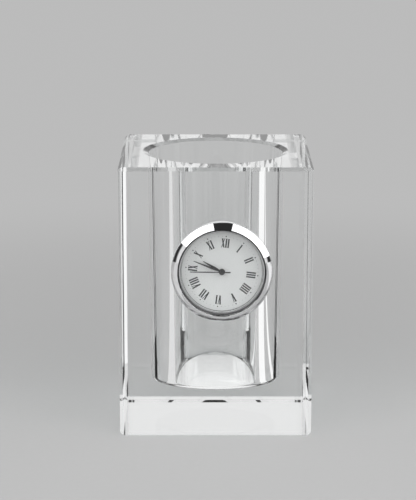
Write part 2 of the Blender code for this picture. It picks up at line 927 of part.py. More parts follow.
def make_hour_wheel():
    """Wheel and the tube that carries the hour hand."""
    top = hour_hand_back + hand_thickness
    body = disc(hour_tube_radius, hour_wheel_back, top, bore_sides)
    wheel = make_object("hour_wheel", body, material("brass"), hour_axis_empty)
    teeth = gear(
        hour_teeth,
        hour_module,
        centre_axis,
        facing_gap(hour_teeth, 0),
        hour_wheel_back + face_offset,
        hour_wheel_front,
    )
    boolean(wheel, make_object("hour wheel teeth", teeth, None, hour_axis_empty), "UNION")
    bore = disc(hour_tube_bore, hour_wheel_back - overrun, top + overrun, bore_sides)
    boolean(wheel, make_object("hour wheel bore", bore, None, hour_axis_empty), "DIFFERENCE")


def make_movement_ring():
    """Plastic ring that centres the movement, with a slot for the stem."""
    finish = material("white plastic")
    body = tube(ring_bore, ring_radius, ring_back, ring_front, ring_sides)
    ring = make_object("movement_ring", body, finish, case_axis)
    slot = block_body(
        (ring_bore - overrun, -stem_slot_half, plate_back),
        (ring_radius + overrun, stem_slot_half, ring_front + overrun),
    )
    boolean(ring, make_object("ring slot cutter", slot, None, case_axis), "DIFFERENCE")


def make_main_plate():
    """Round plate with pillars behind, posts in front, pivot holes, stem slot and battery pocket."""
    body = disc(plate_radius, plate_back, plate_front, ring_sides)
    plate = make_object("main_plate", body, material("brass"), case_axis)
    middle = (plate_front + plate_back) / 2
    pillar_back = bridge_front + fine_gap
    stands = [
        disc(pillar_radius, pillar_back, middle, bore_sides, left_pillar),
        disc(pillar_radius, pillar_back, middle, bore_sides, right_pillar),
        disc(inner_pillar_radius, pillar_back, middle, bore_sides, inner_pillar),
        disc(arbor_radius, middle, hour_wheel_front, arbor_sides, minute_axis),
        disc(guide_radius, middle, yoke_front, arbor_sides, guide_axis),
    ]
    boolean(plate, make_object("plate stands", merged(stands), None, case_axis), "UNION")
    low, high = plate_back - overrun, plate_front + overrun
    cuts = [disc(cannon_radius + pivot_gap, low, high, bore_sides)]
    pivots = (third_axis, intermediate_axis, rotor_axis)
    cuts += [disc(pivot_hole, low, high, arbor_sides, axis) for axis in pivots]
    cuts += [disc(dial_foot_radius + pivot_gap, low, high, arbor_sides, foot) for foot in dial_feet]
    cuts += [disc(screw_hole, low, high, arbor_sides, end) for end in coil_ends]
    cuts.append(disc(screw_hole, low, high, arbor_sides, board_screw_axis))
    cuts.append(disc(screw_hole, low, high, arbor_sides, strap_screw_axis))
    cuts += [
        disc(screw_hole, pillar_back - overrun, pillar_back + pillar_hole_depth, arbor_sides, pillar)
        for pillar in (left_pillar, right_pillar, inner_pillar)
    ]
    slot_end = (plate_radius + overrun, stem_slot_half, high)
    cuts.append(block_body((stem_slot_start, -stem_slot_half, low), slot_end))
    pocket_radius = battery_radius + fine_gap
    cuts.append(disc(pocket_radius, low, plate_back + battery_pocket_depth, disc_sides, battery_axis))
    boolean(plate, make_object("plate cutter", merged(cuts), None, case_axis), "DIFFERENCE")
    pocket = contact_body(fine_gap, plate_back, plate_back + battery_pocket_depth + contact_pocket_depth)
    boolean(plate, make_object("contact pocket cutter", pocket, None, case_axis), "DIFFERENCE")


def make_train_bridge():
    """Cover over the train, with pivot holes and sunk screw seats."""
    places = [left_pillar, right_pillar, inner_pillar, rotor_axis]
    outline = hull_outline([(place, bridge_margin) for place in places], bore_sides)
    body = prism(outline, bridge_back, bridge_front)
    bridge = make_object("train_bridge", body, material("brass"), case_axis)
    low, high = bridge_back - overrun, bridge_front + overrun
    axes = (centre_axis, third_axis, intermediate_axis, rotor_axis)
    cuts = [disc(pivot_hole, low, high, arbor_sides, axis) for axis in axes]
    seat = screw_head_radius + pivot_gap
    for pillar in (left_pillar, right_pillar, inner_pillar):
        cuts.append(
            turned(
                [
                    (0, high),
                    (screw_hole, high),
                    (screw_hole, bridge_seat),
                    (seat, bridge_seat),
                    (seat, low),
                    (0, low),
                ],
                bore_sides,
                pillar,
            )
        )
    boolean(bridge, make_object("bridge cutter", merged(cuts), None, case_axis), "DIFFERENCE")


def make_stator():
    """Bar with the rotor's eye and two arms that reach the coil's core."""
    left_end, right_end = coil_ends
    bar_level = rotor_axis.y
    bar = make_object(
        "stator",
        block_body(
            (left_end.x - core_end_half, bar_level - stator_bar_half, stator_back),
            (right_end.x + core_end_half, bar_level + stator_bar_half, stator_front),
        ),
        material("steel"),
        case_axis,
    )
    arms = [
        block_body(
            (end.x - core_end_half, coil_place - core_end_half, stator_back),
            (end.x + core_end_half, bar_level, stator_front),
        )
        for end in coil_ends
    ]
    boolean(bar, make_object("stator arms", merged(arms), None, case_axis), "UNION")
    eye = magnet_radius + rotor_air_gap
    web = disc(eye + stator_eye_web, stator_back, stator_front, disc_sides, rotor_axis)
    boolean(bar, make_object("stator eye web", web, None, case_axis), "UNION")
    cuts = [disc(eye, stator_back - overrun, stator_front + overrun, disc_sides, rotor_axis)]
    for end in coil_ends:
        cuts.append(disc(screw_hole, stator_back - overrun, stator_front + overrun, arbor_sides, end))
    boolean(bar, make_object("stator cutter", merged(cuts), None, case_axis), "DIFFERENCE")


def make_coil_core():
    """Iron strip through the coil, with widened ends under the screws."""
    left_end, right_end = coil_ends
    strip = make_object(
        "coil_core",
        block_body(
            (left_end.x, coil_place - core_half_width, core_back),
            (right_end.x, coil_place + core_half_width, core_front),
        ),
        material("steel"),
        case_axis,
    )
    pads = [disc(core_end_half, core_back, core_front, bore_sides, end) for end in coil_ends]
    boolean(strip, make_object("core pads", merged(pads), None, case_axis), "UNION")
    low, high = core_back - overrun, core_front + overrun
    holes = [disc(screw_hole, low, high, arbor_sides, end) for end in coil_ends]
    boolean(strip, make_object("core holes", merged(holes), None, case_axis), "DIFFERENCE")


def make_coil():
    """Winding between two flanges, round the core."""
    level = (core_front + core_back) / 2
    half = coil_span_half - core_end_half - fine_gap
    flange = half - coil_flange_width
    bulge = coil_radius - coil_flange
    outline = [
        (0, half),
        (coil_radius, half),
        (coil_radius, flange),
        (bulge, flange),
        (bulge, -flange),
        (coil_radius, -flange),
        (coil_radius, -half),
        (0, -half),
    ]
    body = turned(outline, bore_sides)
    place = Matrix.Translation((rotor_axis.x, coil_place, level)) @ Matrix.Rotation(math.pi / 2, 4, "Y")
    bmesh.ops.transform(body, matrix=place, verts=body.verts)
    coil = make_object("coil", body, material("copper wire"), case_axis)
    reach = coil_span_half
    bore = block_body(
        (rotor_axis.x - reach, coil_place - core_half_width - pivot_gap, core_back - pivot_gap),
        (rotor_axis.x + reach, coil_place + core_half_width + pivot_gap, core_front + pivot_gap),
    )
    boolean(coil, make_object("coil bore cutter", bore, None, case_axis), "DIFFERENCE")


def make_battery():
    """Button cell: wide can with its narrower cap towards the contact."""
    cap = battery_radius - battery_step
    outline = [
        (0, battery_front),
        (cap, battery_front),
        (cap, battery_front - battery_step),
        (battery_radius, battery_front - battery_step),
        (battery_radius, battery_back),
        (0, battery_back),
    ]
    make_object("battery", turned(outline, ring_sides, battery_axis), material("steel"), case_axis)


def contact_body(gap, low, high):
    """The outline of the flat contact under the battery, wider by a gap for its pocket."""
    half = Vector((contact_length / 2 + gap, contact_half_width + gap))
    return block_body(
        (battery_axis.x - half.x, battery_axis.y - half.y, low),
        (battery_axis.x + half.x, battery_axis.y + half.y, high),
    )


def make_battery_contact():
    """Spring leaf sunk in the plate below the cell."""
    front = plate_back + battery_pocket_depth + contact_pocket_depth - fine_gap
    leaf = contact_body(0, front - strap_thickness, front)
    make_object("battery_contact", leaf, material("polished chrome"), case_axis)


def make_battery_strap():
    """Bent strip from a screwed foot on the plate up the cell's side and over its back."""
    side = battery_radius + fine_gap
    foot_front = plate_back - pivot_gap
    profile = [
        (side + strap_foot, foot_front),
        (side + strap_foot, foot_front - strap_thickness),
        (side + strap_thickness, foot_front - strap_thickness),
        (side + strap_thickness, strap_front - strap_thickness),
        (side - strap_reach, strap_front - strap_thickness),
        (side - strap_reach, strap_front),
        (side, strap_front),
        (side, foot_front),
    ]
    body = bmesh.new()
    face = body.faces.new([body.verts.new((x, -strap_half_width, level)) for x, level in profile])
    raised = bmesh.ops.extrude_face_region(body, geom=[face])["geom"]
    across = Vector((0, 2 * strap_half_width, 0))
    bmesh.ops.translate(body, vec=across, verts=[v for v in raised if isinstance(v, bmesh.types.BMVert)])
    turn = Matrix.Rotation(math.radians(strap_degrees), 4, "Z")
    place = Matrix.Translation((battery_axis.x, battery_axis.y, 0))
    bmesh.ops.transform(body, matrix=place @ turn, verts=body.verts)
    strap = make_object("battery_strap", body, material("polished chrome"), case_axis)
    low, high = foot_front - strap_thickness - overrun, foot_front + overrun
    hole = disc(screw_hole, low, high, arbor_sides, strap_screw_axis)
    boolean(strap, make_object("strap hole cutter", hole, None, case_axis), "DIFFERENCE")


def make_board():
    """Crescent board at the rim, with the chip and the quartz can on its back."""
    span = board_end_degrees - board_start_degrees
    angles = [board_start_degrees + span * step / board_steps for step in range(board_steps + 1)]
    outline = [polar(board_outer_radius, angle) for angle in angles]
    outline += [polar(board_inner_radius, angle) for angle in angles[::-1]]
    green = material("green board")
    board = make_object("circuit_board", prism(outline, board_back, board_front), green, case_axis)
    hole = disc(screw_hole, board_back - overrun, board_front + overrun, arbor_sides, board_screw_axis)
    boolean(board, make_object("board hole cutter", hole, None, case_axis), "DIFFERENCE")


def make_chip():
    place = polar(chip_place, chip_degrees)
    top = board_back - fine_gap
    body = block_body(
        (place.x - chip_half, place.y - chip_half, top - chip_height),
        (place.x + chip_half, place.y + chip_half, top),
        chip_chamfer,
    )
    make_object("chip", body, material("black resin"), case_axis)


def make_quartz_can():
    """Small round can lying on the board, with a stepped base end."""
    half = can_length / 2
    neck = can_radius - can_step
    outline = [(0, half), (neck, half), (can_radius, half - can_step)]
    outline += [(can_radius, can_step - half), (neck, -half), (0, -half)]
    body = turned(outline, bore_sides)
    place = polar(can_place, can_degrees)
    level = board_back - fine_gap - can_radius
    along = Matrix.Rotation(math.radians(can_degrees + 90), 4, "Z") @ Matrix.Rotation(math.pi / 2, 4, "Y")
    seat = Matrix.Translation((place.x, place.y, level))
    bmesh.ops.transform(body, matrix=seat @ along, verts=body.verts)
    make_object("quartz_can", body, material("polished chrome"), case_axis)


def screw(place, seat, shank):
    """A slotted screw whose head rests behind the seat level and whose shank runs towards the dial."""
    under = seat - pivot_gap
    outline = [
        (0, under + shank),
        (screw_shank_radius, under + shank),
        (screw_shank_radius, under),
        (screw_head_radius, under),
        (screw_head_radius, under - screw_head_thickness),
        (0, under - screw_head_thickness),
    ]
    return turned(outline, arbor_sides, place)


def make_screws():
    """The movement's seven slotted screws, each an object of its own."""
    left_end, right_end = coil_ends
    strap_back = plate_back - pivot_gap - strap_thickness
    placed = {
        "bridge_screw_left": (left_pillar, bridge_seat, bridge_shank),
        "bridge_screw_right": (right_pillar, bridge_seat, bridge_shank),
        "bridge_screw_inner": (inner_pillar, bridge_seat, bridge_shank),
        "coil_screw_left": (left_end, core_back, coil_shank),
        "coil_screw_right": (right_end, core_back, coil_shank),
        "board_screw": (board_screw_axis, board_back, board_shank),
        "strap_screw": (strap_screw_axis, strap_back, board_shank),
    }
    for name, (place, seat, shank) in placed.items():
        made = make_object(name, screw(place, seat, shank), material("steel"), case_axis)
        head_back = seat - pivot_gap - screw_head_thickness
        reach = Vector((screw_head_radius + overrun, screw_slot_width / 2))
        slot = block_body(
            (*(place - reach), head_back - overrun), (*(place + reach), head_back + screw_slot_depth)
        )
        boolean(made, make_object(name + " slot cutter", slot, None, case_axis), "DIFFERENCE")


def along_stem(body):
    """Turns a body drawn along Z so that it lies along the stem, and sets it at the stem's level."""
    turn = Matrix.Rotation(math.pi / 2, 4, "Y")
    bmesh.ops.transform(body, matrix=turn, verts=body.verts)
    return body


def make_stem():
    """Thin shaft with a toothed end, a groove for the yoke and a seat for the crown."""
    stem_end = crown_start - fine_gap
    groove_end = stem_groove_start + stem_groove_length
    pinion_end = stem_start + stem_pinion_length
    outline = [
        (0, stem_end),
        (stem_radius, stem_end),
        (stem_radius, groove_end),
        (stem_groove_radius, groove_end),
        (stem_groove_radius, stem_groove_start),
        (stem_radius, stem_groove_start),
        (stem_radius, pinion_end),
        (stem_pinion_radius, pinion_end),
        (stem_pinion_radius, stem_start),
        (0, stem_start),
    ]
    body = along_stem(turned(outline, arbor_sides))
    make_object("setting_stem", body, material("steel"), stem_axis_empty)


def make_crown():
    """Knurled knob that fills the case's notch."""
    rim = []
    for number in range(2 * crown_grooves):
        inset = (number % 2) * crown_groove_share * crown_radius
        rim.append(polar(crown_radius - inset, 180 * number / crown_grooves))
    body = prism(rim, crown_start, crown_end)
    make_object("crown", along_stem(body), material("polished chrome"), stem_axis_empty)


def make_yoke():
    """Sliding plate on the front of the main plate, with a fork that sits in the stem's groove."""
    fork_middle = stem_groove_start + stem_groove_length / 2
    half = stem_groove_length / 2 - pivot_gap
    front, back = yoke_front, yoke_front - yoke_thickness
    plate = make_object(
        "setting_yoke",
        block_body(
            (fork_middle - yoke_length / 2, -yoke_drop, back),
            (fork_middle + yoke_length / 2, yoke_tab_half, front),
        ),
        material("steel"),
        yoke_axis,
    )
    tab_back = stem_level - stem_groove_radius
    tab = block_body(
        (fork_middle - half, -yoke_tab_half, tab_back),
        (fork_middle + half, yoke_tab_half, (front + back) / 2),
    )
    boolean(plate, make_object("yoke tab", tab, None, yoke_axis), "UNION")
    reach = stem_groove_radius + pivot_gap
    fork = block_body(
        (fork_middle - half - overrun, -reach, tab_back - overrun),
        (fork_middle + half + overrun, reach, stem_level + reach),
    )
    slot_half = guide_radius + pivot_gap
    slot = hull_outline(
        [(guide_axis, slot_half), (guide_axis - Vector((crown_pull, 0)), slot_half)], bore_sides
    )
    cutter = merged([fork, prism(slot, back - overrun, front + overrun)])
    boolean(plate, make_object("yoke cutter", cutter, None, yoke_axis), "DIFFERENCE")


clear_scene()

upright = math.radians(90)
face_centre = (clock_offset, -block_depth / 2, clock_height)
clock_axis = axis_empty("clock axis", None, face_centre, (upright, math.radians(clock_twist_degrees), 0))
gasket_axis = axis_empty("gasket axis", clock_axis, (0, 0, 0))
case_axis = axis_empty("case axis", clock_axis, (0, 0, 0))
hour_axis_empty = axis_empty("hour axis", case_axis, (0, 0, 0))
minute_axis_empty = axis_empty("minute axis", case_axis, (0, 0, 0))
seconds_axis_empty = axis_empty("seconds axis", case_axis, (0, 0, 0))
third_axis_empty = axis_empty("third axis", case_axis, (*third_axis, 0))
intermediate_axis_empty = axis_empty("intermediate axis", case_axis, (*intermediate_axis, 0))
rotor_axis_empty = axis_empty("rotor axis", case_axis, (*rotor_axis, 0))
motion_axis_empty = axis_empty("motion work axis", case_axis, (*minute_axis, 0))
yoke_axis = axis_empty("yoke axis", case_axis, (0, 0, 0))
stem_axis_empty = axis_empty("stem axis", yoke_axis, (0, 0, stem_level))

make_block()
make_gasket()
make_case()
make_case_back()
make_bezel()
make_lens()
make_dial_flange()
make_dial()
make_hour_hand()
make_minute_hand()
make_second_hand()
make_seconds_wheel()
make_third_wheel()
make_centre_wheel()
make_intermediate_wheel()
make_rotor()
make_minute_wheel()
make_hour_wheel()
make_movement_ring()
make_main_plate()
make_train_bridge()
make_stator()
make_coil_core()
make_coil()
make_battery()
make_battery_contact()
make_battery_strap()
make_board()
make_chip()
make_quartz_can()
make_screws()
make_stem()
make_crown()
make_yoke()

shown_time = {
    "hour_hand": hour_hand_degrees,
    "minute_hand": minute_hand_degrees,
    "second_hand": second_hand_degrees,
}
for name, degrees in shown_time.items():
    bpy.data.objects[name].rotation_euler.z = -math.radians(degrees)
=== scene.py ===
"""Looks of the pen holder clock: polished glass, chrome bezel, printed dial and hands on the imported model.

Metres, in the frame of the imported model. The clock's pieces are drawn in the clock's own frame:
local +Z points out of the dial, local +X to the three, and a level is counted outwards from the
block's front face.
"""

import json
import math

import bmesh
import bpy
from mathutils import Matrix, Vector


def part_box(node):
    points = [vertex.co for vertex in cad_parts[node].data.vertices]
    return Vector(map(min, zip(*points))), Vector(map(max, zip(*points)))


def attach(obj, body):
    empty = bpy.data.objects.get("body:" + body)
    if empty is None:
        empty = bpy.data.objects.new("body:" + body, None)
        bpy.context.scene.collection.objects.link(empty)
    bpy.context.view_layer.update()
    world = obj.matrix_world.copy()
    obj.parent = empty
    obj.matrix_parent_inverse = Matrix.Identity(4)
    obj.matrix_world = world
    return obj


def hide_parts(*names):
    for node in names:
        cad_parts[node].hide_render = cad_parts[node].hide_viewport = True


mm = 0.001

# Facets of round pieces
bore_sides = 256
ring_sides = 192
small_sides = 32
arc_steps = 6
round_segments = 2
smooth_below_degrees = 12
merge_distance = 0.0001 * mm

# Margin with which faces are told apart by their place
face_margin = 0.016 * mm

# Glass block
block_chamfer = 1.2 * mm
edge_round = 0.1 * mm
cup_radius = 24 * mm
cup_draft = 0.85 * mm
cup_floor_thickness = 15.4 * mm
cup_floor_fillet = 2 * mm
cup_bevel_width = 2.15 * mm
cup_bevel_depth = 0.9 * mm
mouth_round = 0.15 * mm
recess_radius = 17.5 * mm
recess_depth = 8.4 * mm
recess_chamfer = 0.3 * mm

# How far a cutter reaches past what it cuts
overrun = 0.5 * mm

# Bezel, from the lens outwards
bezel_radius = 18.25 * mm
bezel_back = 0.3 * mm
bezel_rim_front = 0.75 * mm
bezel_front = 3 * mm
bezel_lip = 0.15 * mm
bezel_slope_inset = 0.12 * mm
bezel_slope_rise = 0.2 * mm
bezel_crown = 0.1 * mm
crown_steps = 16
lens_bore = 15.7 * mm
lens_ledge = 1.05 * mm
skirt_radius = 15.55 * mm
skirt_bore = 15 * mm
lens_radius = 15.55 * mm
lens_back = 1.2 * mm
lens_front = 2.5 * mm
lens_chamfer = 0.12 * mm

# Flange ring, dial and print
flange_outer = 14.85 * mm
flange_foot = 14.55 * mm
flange_dark_top = 14.65 * mm
flange_low = -0.35 * mm
flange_dark_level = 0.05 * mm
flange_high = 0.9 * mm
flange_slope_inset = 0.08 * mm
flange_slope_drop = 0.05 * mm
flange_lip = 0.03 * mm
dial_front = -0.5 * mm
dial_back = -0.9 * mm
dial_hole = 1 * mm
dial_edge = 0.03 * mm
ink_lift = 0.004 * mm
ink_thickness = 0.016 * mm
numeral_foot = 8.9 * mm
numeral_height = 3.3 * mm
bar_width = 0.5 * mm
thin_bar_width = 0.22 * mm
serif_height = 0.1 * mm
serif_reach = 0.09 * mm
letter_gap = 0.12 * mm
letter_widths = {"I": 0.7 * mm, "V": 1.3 * mm, "X": 1.3 * mm}
numerals = ("XII", "I", "II", "III", "IIII", "V", "VI", "VII", "VIII", "IX", "X", "XI")
minutes_per_numeral = 5
track_radius = 13 * mm
hour_dot_radius = 0.22 * mm
minute_dot_radius = 0.08 * mm
dot_sides = 14

# Hands: levels, shape and the time they show
hand_thickness = 0.15 * mm
hour_hand_back = -0.1 * mm
minute_hand_back = 0.35 * mm
second_hand_back = 0.8 * mm
hour_hand_length = 7.8 * mm
minute_hand_length = 11 * mm
second_hand_length = 11.5 * mm
second_tail_length = 3.1 * mm
hour_hub_radius = 1.15 * mm
minute_hub_radius = 1.1 * mm
second_hub_radius = 0.8 * mm
second_hub_back = 0.65 * mm
second_hub_front = 1 * mm
second_hub_edge = 0.18 * mm
hour_hand_width = 0.8 * mm
minute_hand_width = 0.72 * mm
second_hand_width = 0.4 * mm
second_tail_width = 0.42 * mm
blade_neck_share = 0.6
blade_widest_share = 0.4
blade_tip_share = 0.3
second_tip_share = 0.75
blade_facet_share = 0.45
hour_hand_degrees = 293
minute_hand_degrees = 285
second_hand_degrees = 264

# Case, rubber ring, back and crown
case_radius = 16.6 * mm
case_bore = 15.7 * mm
case_back_level = -6.95 * mm
case_edge = 0.1 * mm
groove_radius = 16.3 * mm
groove_front = -4.25 * mm
groove_back = -6.35 * mm
notch_half = 1.5 * mm
stem_level = -2.6 * mm
gasket_inner = 16.45 * mm
gasket_body = 16.75 * mm
gasket_tip = 17.2 * mm
gasket_front = -4.4 * mm
gasket_back = -6.2 * mm
gasket_fins = 5
fin_start_share = 0.35
fin_end_share = 0.55
fin_round = 0.05 * mm
cover_radius = 15.55 * mm
cover_front = -6.25 * mm
cover_step_radius = 10.9 * mm
cover_step = 0.2 * mm
cover_step_round = 0.1 * mm
cover_edge = 0.25 * mm
pry_notch_half = 1.6 * mm
pry_notch_depth = 0.8 * mm
crown_start = 15.75 * mm
crown_radius = 1.2 * mm
crown_grooves = 24
steps_per_groove = 4
crown_groove_depth = 0.1 * mm
crown_edge = 0.12 * mm

# Camera
camera_place = (-2.79 * mm, -738.8 * mm, 236.1 * mm)
camera_down_degrees = 13.27
camera_lens = 145.3
sensor_width = 36

# Glass: its refractive index, and the colour of light that passes through it into its shadow
glass_index = 1.517
glass_shadow = (0.94, 0.96, 0.96, 1)

# Floor: its paper, and the even tone that it takes with distance
floor_half = 6
floor_squares = 24
floor_gap = 0.05 * mm
floor_grey = 0.5
paper_grey = 0.41
paper_mottle = 0.02
paper_roughness = 0.7
paper_gloss = 0.2
floor_near = 0.1
floor_far = 0.4

# Glowing white patches on the floor that only glass and metal mirror, as painted reflections: by azimuth from
# the back towards the right, or by place
right_glow_patch_degrees = (89, 108)
right_glow_patch_radiance = 1
glow_bar_degrees = (50, 90)
glow_bar_near = 0.0315
glow_bar_far = 0.0425
glow_bar_slope = 0.055
left_glow_patch_degrees = (-125, -97)
left_glow_patch_radiance = 0.75
under_glow_patch_half = 0.0345
under_glow_patch_radiance = 0.9
glow_patch_edge_degrees = 1
glow_patch_edge = 0.004

# Studio: each part's radiance, and the depth, height or side of a direction at which it fades in or out
studio_dark = 0.03
studio_back = 0.8
studio_back_depth = (0.3, 0.7)
studio_back_height = (0.45, 0.75)
studio_wings = 1.3
studio_wings_depth = (0.25, 0.4)
studio_wings_side = (0.4, 0.55)
studio_front = 2.4
studio_front_depth = (-0.1, -0.5)
studio_front_height = (0.6, 0.8)
studio_over = 0.8
studio_over_height = (0.75, 0.85)
studio_sides = 0.7
studio_sides_side = (0.7, 0.85)
studio_seen = 0.9

# Soft boxes
box_distance = 0.55
box_forward = 0.2
box_depth = 0.65
box_radiance = 1.8
right_box_degrees = (7, 74)
left_box_degrees = (102, 154)

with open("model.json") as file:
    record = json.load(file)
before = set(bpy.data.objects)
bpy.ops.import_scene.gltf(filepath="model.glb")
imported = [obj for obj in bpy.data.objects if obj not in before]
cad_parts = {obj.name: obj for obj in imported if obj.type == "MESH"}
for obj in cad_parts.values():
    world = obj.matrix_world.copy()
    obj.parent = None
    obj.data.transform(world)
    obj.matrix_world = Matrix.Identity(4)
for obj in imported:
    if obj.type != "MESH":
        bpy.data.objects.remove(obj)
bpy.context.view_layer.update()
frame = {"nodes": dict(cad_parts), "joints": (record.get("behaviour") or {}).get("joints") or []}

joints = {joint["name"]: joint for joint in frame["joints"]}
clock_centre = Vector(joints["insert_turn"]["pos_m"])
out_axis = -Vector(joints["insert_turn"]["axis"])
three_axis = Vector(joints["crown_pull"]["axis"]).normalized()
up_axis = out_axis.cross(three_axis)
clock_frame = Matrix.Translation(clock_centre) @ Matrix((three_axis, up_axis, out_axis)).transposed().to_4x4()


def polar(radius, degrees):
    """The point at this radius and angle, as x, y."""
    angle = math.radians(degrees)
    return Vector((radius * math.cos(angle), radius * math.sin(angle)))


def rounded(corners, steps=arc_steps):
    """A closed outline from (x, y, radius) corners, with an arc of that radius in each."""
    outline = []
    for number, (x, y, radius) in enumerate(corners):
        here = Vector((x, y))
        if radius == 0:
            outline.append(here)
            continue
        before = (Vector(corners[number - 1][:2]) - here).normalized()
        after = (Vector(corners[(number + 1) % len(corners)][:2]) - here).normalized()
        half = before.angle(after) / 2
        centre = here + (before + after).normalized() * (radius / math.sin(half))
        start = here + before * (radius / math.tan(half)) - centre
        end = here + after * (radius / math.tan(half)) - centre
        sweep = start.angle_signed(end)
        for step in range(steps + 1):
            angle = -sweep * step / steps
            outline.append(centre + Matrix.Rotation(angle, 2) @ start)
    return outline


def show(name, body, place, body_name, finishes, replaced):
    """Makes one object of the body at its place, with its materials, attaches it to its body and hides the
    parts it replaces.
    """
    bmesh.ops.recalc_face_normals(body, faces=body.faces)
    mesh = bpy.data.meshes.new(name)
    body.to_mesh(mesh)
    body.free()
    mesh.shade_smooth()
    mesh.set_sharp_from_angle(angle=math.radians(smooth_below_degrees))
    made = bpy.data.objects.new(name, mesh)
    bpy.context.scene.collection.objects.link(made)
    made.matrix_world = place
    for finish in finishes:
        mesh.materials.append(finish)
    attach(made, body_name)
    if replaced:
        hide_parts(*replaced)


def turned(outline, sides):
    """A body of revolution about local Z from a closed outline of (radius, level) points."""
    body = bmesh.new()
    points = [body.verts.new((radius, 0, level)) for radius, level in outline]
    edges = [body.edges.new(pair) for pair in zip(points, points[1:])]
    if outline[0][0] or outline[-1][0]:
        edges.append(body.edges.new((points[-1], points[0])))
    bmesh.ops.spin(
        body,
        geom=points + edges,
        cent=(0, 0, 0),
        axis=(0, 0, 1),
        angle=math.tau,
        steps=sides,
        use_merge=True,
    )
    bmesh.ops.remove_doubles(body, verts=body.verts, dist=merge_distance)
    return body


def prism(outline, low, high, body=None):
    """An outline of x, y points raised between two levels, added to a body if one is given."""
    body = body or bmesh.new()
    base = body.faces.new([body.verts.new((x, y, low)) for x, y in outline])
    raised = bmesh.ops.extrude_face_region(body, geom=[base])["geom"]
    moved = [item for item in raised if isinstance(item, bmesh.types.BMVert)]
    bmesh.ops.translate(body, vec=(0, 0, high - low), verts=moved)
    return body


def block_body(low, high):
    """A box between two corners."""
    body = bmesh.new()
    low, high = Vector(low), Vector(high)
    place = Matrix.Translation((low + high) / 2) @ Matrix.Diagonal((*(high - low), 1))
    bmesh.ops.create_cube(body, size=1, matrix=place)
    return body


def cut(body, cutters):
    """The body with each (cutter, matrix) taken away, by exact Booleans that are applied."""
    objects = []
    for source, matrix in [(body, Matrix.Identity(4))] + cutters:
        bmesh.ops.recalc_face_normals(source, faces=source.faces)
        mesh = bpy.data.meshes.new("working shape")
        source.to_mesh(mesh)
        source.free()
        made = bpy.data.objects.new("working shape", mesh)
        bpy.context.scene.collection.objects.link(made)
        made.matrix_world = matrix
        objects.append(made)
    target = objects[0]
    for tool in objects[1:]:
        step = target.modifiers.new("cut", "BOOLEAN")
        step.operation = "DIFFERENCE"
        step.solver = "EXACT"
        step.object = tool
    bpy.context.view_layer.update()
    result = bmesh.new()
    result.from_object(target, bpy.context.evaluated_depsgraph_get())
    for made in objects:
        mesh = made.data
        bpy.data.objects.remove(made)
        bpy.data.meshes.remove(mesh)
    return result


def node_adder(tree):
    """A function that adds a node to the tree, with its inputs set or linked."""

    def add(kind, inputs=(), **settings):
        node = tree.nodes.new(kind)
        for key, value in settings.items():
            setattr(node, key, value)
        for key, value in dict(inputs).items():
            if isinstance(value, bpy.types.NodeSocket):
                tree.links.new(value, node.inputs[key])
            else:
                node.inputs[key].default_value = value
        return node

    return add


def shader_graph(name):
    """A new material with its tree, its Principled shader and its node adder."""
    made = bpy.data.materials.new(name)
    made.use_nodes = True
    tree = made.node_tree
    return made, tree, tree.nodes["Principled BSDF"], node_adder(tree)


def object_noise(add, scale, detail=3.0, roughness=0.5):
    """Noise in the object's own coordinates, in features per millimetre, as a 0 to 1 value."""
    place = add("ShaderNodeTexCoord").outputs["Object"]
    scaled = add("ShaderNodeMapping", {"Vector": place, "Scale": (scale / mm,) * 3})
    noise = add(
        "ShaderNodeTexNoise",
        {"Vector": scaled.outputs["Vector"], "Scale": 1.0, "Detail": detail, "Roughness": roughness},
    )
    return noise.outputs["Fac"]


def combine(add, first, second, operation):
    """The result of one operation on two values."""
    return add("ShaderNodeMath", {0: first, 1: second}, operation=operation).outputs["Value"]


def spread(add, value, low, high, start=0.3, end=0.7, kind="LINEAR"):
    """Goes from low to high while the value goes from start to end, and stays there on both sides."""
    node = add(
        "ShaderNodeMapRange",
        {"Value": value, "From Min": start, "From Max": end, "To Min": low, "To Max": high},
        interpolation_type=kind,
    )
    return node.outputs["Result"]


def ramp(add, value, start, end, low, high):
    """The same with a soft start and end."""
    return spread(add, value, low, high, start, end, "SMOOTHSTEP")


def blend_colours(add, factor, first, second):
    """A colour between two, by a 0 to 1 value."""
    node = add("ShaderNodeMix", data_type="RGBA")
    node.id_data.links.new(factor, node.inputs["Factor"])
    colours = [socket for socket in node.inputs if socket.type == "RGBA"]
    colours[0].default_value = (*first, 1)
    colours[1].default_value = (*second, 1)
    return [socket for socket in node.outputs if socket.type == "RGBA"][0]


def bump(add, height, strength, distance):
    """A normal that follows a 0 to 1 height."""
    node = add("ShaderNodeBump", {"Height": height, "Strength": strength, "Distance": distance})
    return node.outputs["Normal"]


def clear_glass(name, ripple):
    """Optical glass: faint smudges in its gloss, a slight ripple, and no shade for lamps behind it."""
    made, tree, shader, add = shader_graph(name)
    smudge = object_noise(add, scale=0.06, detail=4.0, roughness=0.6)
    tree.links.new(spread(add, smudge, low=0.0, high=0.012), shader.inputs["Roughness"])
    tint = blend_colours(add, smudge, (0.985, 0.995, 0.995), (0.995, 1.0, 1.0))
    tree.links.new(tint, shader.inputs["Base Color"])
    waves = object_noise(add, scale=0.03, detail=1.0)
    tree.links.new(bump(add, waves, ripple, distance=0.05 * mm), shader.inputs["Normal"])
    shader.inputs["Transmission Weight"].default_value = 1.0
    shader.inputs["IOR"].default_value = glass_index
    clear = add("ShaderNodeBsdfTransparent", {"Color": glass_shadow})
    shadow = add("ShaderNodeLightPath").outputs["Is Shadow Ray"]
    mixed = add("ShaderNodeMixShader", {0: shadow, 1: shader.outputs["BSDF"], 2: clear.outputs["BSDF"]})
    tree.links.new(mixed.outputs["Shader"], tree.nodes["Material Output"].inputs["Surface"])
    return made


